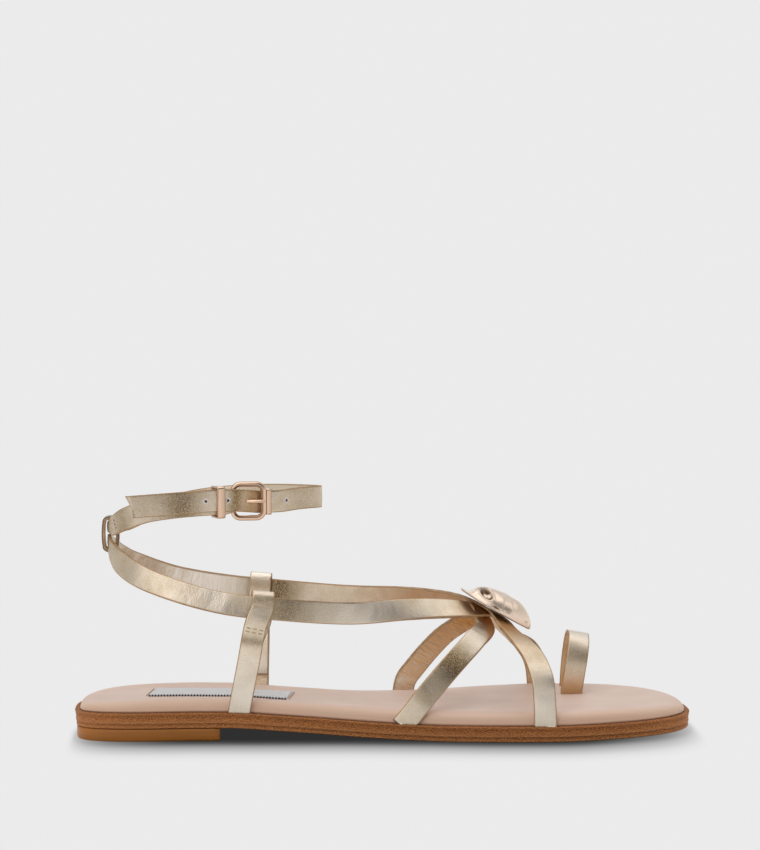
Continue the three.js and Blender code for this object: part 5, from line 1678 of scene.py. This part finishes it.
def make_loop_stitches(path, node, name):
    """Two rows of three short stitches across a side loop's leg, below the fold."""
    k = int(np.argmin(np.abs(path.at - LOOP_SEWN_AT * path.length)))
    middle, out, along, across = path.point[k], path.face[k], path.tangent[k], path.across[k]
    surface = middle + out * (STRAP_THICKNESS / 2 + TRIM_LIFT)
    centres = [surface + across * side * 2.6 + along * row * 0.75 for side in (-1, 0, 1) for row in (-1, 1)]
    stitch_row(name, centres, across, out, 1.9, 0.24, "gold_thread", node)


def make_label():
    """The woven label: a thin patch that follows the footbed, with selvedges, a dark overlocked
    near edge and tan stitches at both ends."""
    steps, rows = 90, 26
    along, across = direction(LABEL_TURN, 0), direction(LABEL_TURN + 90, 0)
    middle = np.array([LABEL_AT, -LABEL_OUT, 0])
    s = np.linspace(-0.5, 0.5, steps)
    t = np.linspace(-0.5, 0.5, rows)
    grid = along * (s * LABEL_LENGTH)[:, None, None] + across * (t * LABEL_WIDTH)[None, :, None]
    grid = grid + middle
    sag = 0.10 * ripple(s * 90, 12, 23)[:, None] * (1 - (2 * t) ** 6)[None]
    base = footbed_height(grid[..., 0], grid[..., 1])
    frayed = 0.05 * np.sin(s * LABEL_LENGTH * 5.2)[:, None] * (np.abs(t) > 0.49)[None]
    selvedge = 0.12 * (np.abs(t) > 0.47)[None]
    top, low = grid.copy(), grid.copy()
    top[..., 2] = base + 0.08 + LABEL_THICKNESS + sag * 0.5 + frayed - selvedge
    low[..., 2] = base + 0.02
    count = steps * rows
    faces = grid_faces(steps, rows)
    border = [i * rows for i in range(steps)] + [(steps - 1) * rows + j for j in range(1, rows)]
    border += [i * rows + rows - 1 for i in range(steps - 2, -1, -1)] + [j for j in range(rows - 2, 0, -1)]
    border = np.array(border)
    ahead = np.roll(border, -1)
    walls = np.stack([border, ahead, ahead + count, border + count], 1)
    points = np.concatenate([top.reshape(-1, 3), low.reshape(-1, 3)])
    flat = np.stack(np.meshgrid(s * LABEL_LENGTH, t * LABEL_WIDTH, indexing="ij"), -1).reshape(-1, 2)
    all_faces = np.concatenate([faces, faces[:, ::-1] + count, walls])
    add_piece("label_patch", points, all_faces, ["label"], "sock_label", uv=np.tile(flat, (2, 1)))

    def sewn(share, out, lift):
        """Place on the footbed: a share of the label's length, and millimetres across and up."""
        place = middle + along * share * LABEL_LENGTH + across * out
        place[2] = float(footbed_height(place[0], place[1])) + lift
        return place

    near_edge = -LABEL_WIDTH * 0.5 - 0.35
    overlock = [sewn(share, near_edge, 0.2) for share in np.linspace(-0.49, 0.49, 46)]
    stitch_row("label_overlock", overlock, across, UP, 1.5, 0.34, "label_edge", "sock_label")
    spread = np.linspace(-0.44, 0.44, 9) * LABEL_WIDTH
    ends = [sewn(share, out, 0.12) for share in (-0.515, 0.515) for out in spread]
    stitch_row("label_stitches", ends, across, UP, 1.5, 0.2, "tan_thread", "sock_label")


# Build


# Reflections, shade and bare leather painted on the straps: the paint, the side of the sandal, and
# soft patches with their axis (0 along the sole, 2 up), place, reach and amount.
LONG_PAINT = [
    ("tone", LATERAL, [(0, 86, 9, 0.72), (0, 14, 7, 0.5), (2, 33, 3, 0.35)]),
    ("tone", BOTH, [(0, 170, 8, 0.9)]),
    ("warm_shade", BOTH, [(0, 169, 9.5, 0.95), (0, 176, 5, 0.6)]),
    ("tone", MEDIAL, [(0, 84, 9, 1.0), (0, 16, 6, 0.25), (0, 70, 6, 0.4), (0, 30, 5, 0.3)]),
    ("warm_shade", MEDIAL, [(0, 142, 20, 0.5), (0, 8, 6, 0.4)]),
    ("shine", MEDIAL, [(0, 23.4, 0.8, 0.7), (0, 41, 0.8, 0.9), (0, 49.5, 0.9, 0.9), (0, 54, 15, 0.95)]),
    ("shine", LATERAL, [(0, 118, 14, 0.35), (2, 14, 10, 0.5), (0, 58, 6, 0.35)]),
    ("tone", LATERAL, [(0, 66, 6, 0.12), (0, 30, 8, 0.2), (0, 98, 10, 0.12)]),
]
REAR_PAINT = [
    ("tone", LATERAL, [(2, 30, 6.5, 1.0), (2, 18, 4, 0.35)]),
    ("tone", BOTH, [(2, 47, 3.6, 0.75)]),
    ("warm_shade", BOTH, [(2, 46.5, 4.4, 1.0)]),
    ("shine", LATERAL, [(2, 38.5, 2.8, 0.4)]),
    ("shine", MEDIAL, [(2, 14, 6, 0.5)]),
    ("warm_shade", MEDIAL, [(2, 40, 9, 0.55)]),
]
LOOP_PAINT = [
    ("tone", BOTH, [(2, 41.3, 2.0, 0.75), (2, 57.3, 2.4, 0.5)]),
    ("shine", BOTH, [(2, 20, 13, 0.45), (2, 60.5, 1.2, 0.5)]),
    ("tone", MEDIAL, [(2, 20, 1.8, 0.9)]),
    ("warm_shade", MEDIAL, [(2, 10, 5, 0.9)]),
]
TOE_PAINT = [
    ("tone", BOTH, [(2, 28, 4, 0.55)]),
    ("warm_shade", BOTH, [(2, 12, 6, 0.75)]),
    ("shine", BOTH, [(2, 39, 6, 0.9)]),
]
ANKLE_PAINT = [
    ("tone", LATERAL, [(0, 45, 9, 0.85), (0, 16, 7, 0.25), (0, 66.5, 3.2, 0.95), (0, 73, 3, 0.7)]),
    ("tone", LATERAL, [(0, 93, 11, 0.47), (0, 30, 7, 0.25), (0, 21, 3, 0.5)]),
    ("warm_shade", LATERAL, [(0, 73, 2.6, 0.5), (0, 68, 3, 0.2)]),
    ("tone", MEDIAL, [(0, 35, 30, 0.2)]),
]


def make_side_loops(long_path):
    """The two side loops, each at the place of the long strap that it holds."""
    held_x = HEEL_SETBACK + LOOP_HELD_AT * (CROSSING_AT - HEEL_SETBACK)
    middle = long_path.length / 2
    for name, side, foot_at, shift, span, seed in (
        ("lateral", LATERAL, 0.2645, 2.1, (0.15 * middle, middle), 3),
        ("medial", MEDIAL, 0.2975, 0.0, (middle, 1.85 * middle), 4),
    ):
        on_side = (long_path.at > span[0]) & (long_path.at < span[1])
        distance = np.where(on_side, np.abs(long_path.point[:, 0] - held_x), 1e9)
        rows = side_loop_rows(long_path, int(np.argmin(distance)), side, foot_at, shift)
        path = Path(rows, step=0.5, paint=LOOP_PAINT)
        strap_mesh(f"loop_{name}", path, f"side_loop_{name}", seed, cut=level_on_rim, wave=0.06)
        make_loop_stitches(path, f"side_loop_{name}", f"loop_stitches_{name}")


def make_straps():
    """Every strap and what is sewn on it."""
    long_path = Path(long_strap_rows(), paint=LONG_PAINT)
    strap_mesh("long_strap", long_path, "upper_straps", 1, cut=level_on_rim)
    rear_path = Path(rear_strap_rows(), paint=REAR_PAINT)
    strap_mesh("rear_strap", rear_path, "upper_straps", 2, cut=level_on_rim)
    make_side_loops(long_path)
    ring_path = Path(toe_loop_rows(), step=0.5, paint=TOE_PAINT)
    strap_mesh("toe_ring", ring_path, "toe_loop", 5, wave=0.05)
    ankle_path = Path(ankle_strap_rows(), step=0.6, paint=ANKLE_PAINT)
    strap_mesh("ankle_band", ankle_path, "ankle_strap", 6, slant=TAIL_SLANT, wave=0.08)
    mark_holes(ankle_path)
    make_heel_tab()
    make_tab_stitches(ankle_path)


def make_tab_stitches(ankle_path):
    """Three thread bumps across the ankle strap where it holds the tab, on the outer side."""
    beside_tab = ankle_row((0.05, -0.42, 0.78, -148, 1))[0]
    k = ankle_path.nearest(beside_tab, after=12, before=ankle_path.length * 0.5)
    middle, out = ankle_path.point[k], ankle_path.face[k]
    along, across = ankle_path.tangent[k], ankle_path.across[k]
    surface = middle + out * (STRAP_THICKNESS / 2 + TRIM_LIFT)
    surface = surface - along * np.sign(along[0]) * 2.2
    centres = [surface + across * side * 1.55 for side in (-1, 0, 1)]
    stitch_row("tab_stitches", centres, across, out, 1.1, 0.36, "pale_thread", "ankle_strap")


def make_metal():
    """Buckle, prong, keeper, guide and ornament."""
    make_buckle_frame()
    make_prong()
    band_piece(
        "keeper_band",
        "strap_keeper",
        KEEPER_AT,
        0.0,
        TAIL_RISE / 2,
        3 * STRAP_THICKNESS + 4 * CLEARANCE + 6 * SLACK,
        STRAP_WIDTH + TAIL_RISE + 2 * CLEARANCE + SLACK,
        KEEPER_WIDTH,
        KEEPER_WALL,
    )
    band_piece(
        "guide_band",
        "strap_guide",
        BUCKLE_LENGTH + WIRE / 2 + CLEARANCE + GUIDE_WIDTH / 2 + 0.2,
        -SLACK / 2,
        0.0,
        STRAP_THICKNESS + 2 * CLEARANCE + 2 * SLACK,
        STRAP_WIDTH + 2 * CLEARANCE,
        GUIDE_WIDTH,
        GUIDE_WALL,
    )
    make_ornament()


# Stage

BACKGROUND = 0.831
# Distance from the sole, as a share of the shadow's reach, then its share of the background.
SHADOW = [
    (0.0, 0.06),
    (0.1, 0.14),
    (0.2, 0.30),
    (0.3, 0.46),
    (0.4, 0.58),
    (0.5, 0.69),
    (0.6, 0.80),
    (0.7, 0.89),
    (0.8, 0.94),
    (0.9, 0.975),
    (1.0, 1.0),
]
# Strength of the shadow along the sole.
SHADOW_ALONG = [
    (-0.025, 0.0),
    (0.0, 0.35),
    (0.025, 0.62),
    (0.07, 0.81),
    (0.2, 1.0),
    (0.8, 1.0),
    (0.93, 0.82),
    (0.985, 0.5),
    (1.015, 0.15),
    (1.04, 0.0),
]
SHADOW_UNDER = 0.035  # share of the background below the sole
SHADOW_FRONT = 46.0  # reach in millimetres in front of the lateral side
SHADOW_BACK = 20.0
SHADOW_ENDS = 3.0  # reach beyond the heel and the toe


def make_floor():
    """A pale floor as bright as the background, painted with the soft shadow of a light that
    stands behind the sandal. The shade follows the distance from each floor point to the sole's
    outline, whose segments are measured in shares of the reach, so it runs furthest to the front."""
    x = np.concatenate([[-3000, -400], np.linspace(-30, SOLE_LENGTH + 30, 209), [700, 3200]])
    y = np.concatenate([[-3000, -400], np.linspace(-110, 80, 153), [400, 3000]])
    grid = np.stack(np.meshgrid(x, y, indexing="ij"), -1)
    flat = grid.reshape(-1, 2)
    reach = np.where(flat[:, 1:] < 0, SHADOW_FRONT, SHADOW_BACK)
    along = np.broadcast_to(EDGE[:, 0] / SHADOW_ENDS, (len(flat), len(EDGE)))
    start = np.stack([along, EDGE[:, 1] / reach], -1)
    side = np.roll(start, -1, 1) - start
    point = np.stack([flat[:, :1] / SHADOW_ENDS, flat[:, 1:] / reach], -1)
    share = np.clip(((point - start) * side).sum(-1) / np.maximum((side * side).sum(-1), 1e-12), 0, 1)
    near = np.linalg.norm(point - start - side * share[..., None], axis=-1).min(1)
    on_sole = (flat[:, 0] > 0) & (flat[:, 0] < SOLE_LENGTH)
    place = np.clip(flat[:, 0], 0, SOLE_LENGTH)
    under = on_sole & (flat[:, 1] > -half_width(place, LATERAL)) & (flat[:, 1] < half_width(place, MEDIAL))
    deep = ease(near, 0.0, 0.12)
    shade = np.where(under, SHADOW[0][1] * (1 - deep) + SHADOW_UNDER * deep, smooth(SHADOW, 1, near))
    shade = 1 - (1 - shade) * smooth(SHADOW_ALONG, 1, flat[:, 0] / SOLE_LENGTH)
    mesh = bpy.data.meshes.new("floor")
    points = (np.column_stack([flat, np.zeros(len(flat))]) + SHIFT) * MM
    mesh.from_pydata(points.tolist(), [], grid_faces(len(x), len(y)).tolist())
    attribute = mesh.attributes.new("shade", "FLOAT", "POINT")
    attribute.data.foreach_set("value", shade.astype(np.float32))
    floor = bpy.data.objects.new("floor", mesh)
    bpy.context.collection.objects.link(floor)
    material = bpy.data.materials.new("floor_pale")
    material.use_nodes = True
    tree = material.node_tree
    tree.nodes.remove(tree.nodes["Principled BSDF"])
    glow = tree.nodes.new("ShaderNodeEmission")
    glow.inputs["Color"].default_value = (BACKGROUND,) * 3 + (1,)
    tree.links.new(painted(tree, "shade"), glow.inputs["Strength"])
    tree.links.new(glow.outputs["Emission"], tree.nodes["Material Output"].inputs["Surface"])
    mesh.materials.append(material)
    floor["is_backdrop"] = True


# Studio light by height of the direction: share from straight down to straight up, and level.
SKY = [
    (0.0, BACKGROUND),
    (0.5, BACKGROUND),
    (0.56, 0.66),
    (0.64, 0.50),
    (0.76, 0.60),
    (0.86, 1.05),
    (1.0, 1.25),
]
# Patches of the studio: heading, lean, half its width in degrees, added level.
PATCHES = [
    (-112, 38, 42, 0.75),
    (-62, 33, 34, -0.62),
    (-90, 2, 26, -0.42),
    (-20, 52, 34, 0.30),
    (100, 58, 42, 0.35),
]


def make_light():
    """Soft studio light: levels by height, with a bright window on the left, a dark flag on the
    right and a darker room behind the camera, which give the foil and the metal their contrast.
    Directions close to straight ahead have the plain background's level."""
    world = bpy.data.worlds.new("studio")
    bpy.context.scene.world = world
    world.use_nodes = True
    tree = world.node_tree
    ahead = coordinates(tree, "Generated")
    split = tree.nodes.new("ShaderNodeSeparateXYZ")
    tree.links.new(ahead, split.inputs["Vector"])
    lean = math_node(tree, "ARCSINE", split.outputs["Z"], 0.0)
    height = math_node(tree, "ADD", math_node(tree, "DIVIDE", lean, math.pi), 0.5)
    level = ramp(tree, height, [(at, (value / 2,) * 3) for at, value in SKY])
    level = math_node(tree, "MULTIPLY", level, 2.0)
    behind = ramp(tree, split.outputs["Y"], [(0.955, (0, 0, 0)), (0.975, (1, 1, 1))])
    for heading, lift, reach, added in PATCHES:
        near = tree.nodes.new("ShaderNodeVectorMath")
        near.operation = "DOT_PRODUCT"
        near.inputs[1].default_value = direction(heading, lift)
        tree.links.new(ahead, near.inputs[0])
        soft = tree.nodes.new("ShaderNodeMapRange")
        soft.interpolation_type = "SMOOTHSTEP"
        soft.inputs["From Min"].default_value = math.cos(math.radians(reach))
        soft.inputs["From Max"].default_value = 1.0
        soft.inputs["To Max"].default_value = added
        tree.links.new(near.outputs["Value"], soft.inputs["Value"])
        level = math_node(tree, "ADD", level, soft.outputs["Result"])
    level = math_node(tree, "MAXIMUM", level, 0.02)
    level = mix_color(tree, behind, level, (BACKGROUND,) * 3)
    tree.links.new(level, tree.nodes["Background"].inputs["Color"])


# Camera of the photograph: azimuth, elevation and roll in degrees, distance in millimetres and
# focal length in pixels of the 850 pixel side.
CAMERA_AZIMUTH = -2.87
CAMERA_ELEVATION = 3.47
CAMERA_ROLL = -0.56
CAMERA_DISTANCE = 1200.0
CAMERA_TARGET = (126.12, 0.0, 125.07)
CAMERA_FOCAL = 2925.7
PICTURE_SIDE = 850
SENSOR = 36.0


def make_camera():
    """The camera stands off the lateral side, slightly above, and looks at the target."""
    turn, lift, roll = [math.radians(v) for v in (CAMERA_AZIMUTH, CAMERA_ELEVATION, CAMERA_ROLL)]
    back = np.array([math.sin(turn) * math.cos(lift), -math.cos(turn) * math.cos(lift), math.sin(lift)])
    right = unit(np.cross(UP, back))
    up = np.cross(back, right)
    right, up = (
        right * math.cos(roll) + up * math.sin(roll),
        up * math.cos(roll) - right * math.sin(roll),
    )
    place = (np.array(CAMERA_TARGET) + back * CAMERA_DISTANCE + SHIFT) * MM
    camera = bpy.data.cameras.new("camera")
    camera.lens = CAMERA_FOCAL * SENSOR / PICTURE_SIDE
    camera.sensor_width = SENSOR
    camera.clip_start = 0.05
    camera_object = bpy.data.objects.new("camera", camera)
    matrix = Matrix.Identity(4)
    for column, values in enumerate((right, up, back, place)):
        for row in range(3):
            matrix[row][column] = float(values[row])
    camera_object.matrix_world = matrix
    bpy.context.collection.objects.link(camera_object)
    bpy.context.scene.camera = camera_object


make_camera()
make_light()
make_floor()
make_outsole()
make_heel_block()
make_footbed()
make_label()
make_straps()
make_metal()

bpy.context.scene.view_settings.view_transform = "Standard"

boxes = {"cad": cad_box, "visual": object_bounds()}
{name: [[float(v) for v in corner] for corner in box] for name, box in boxes.items()}
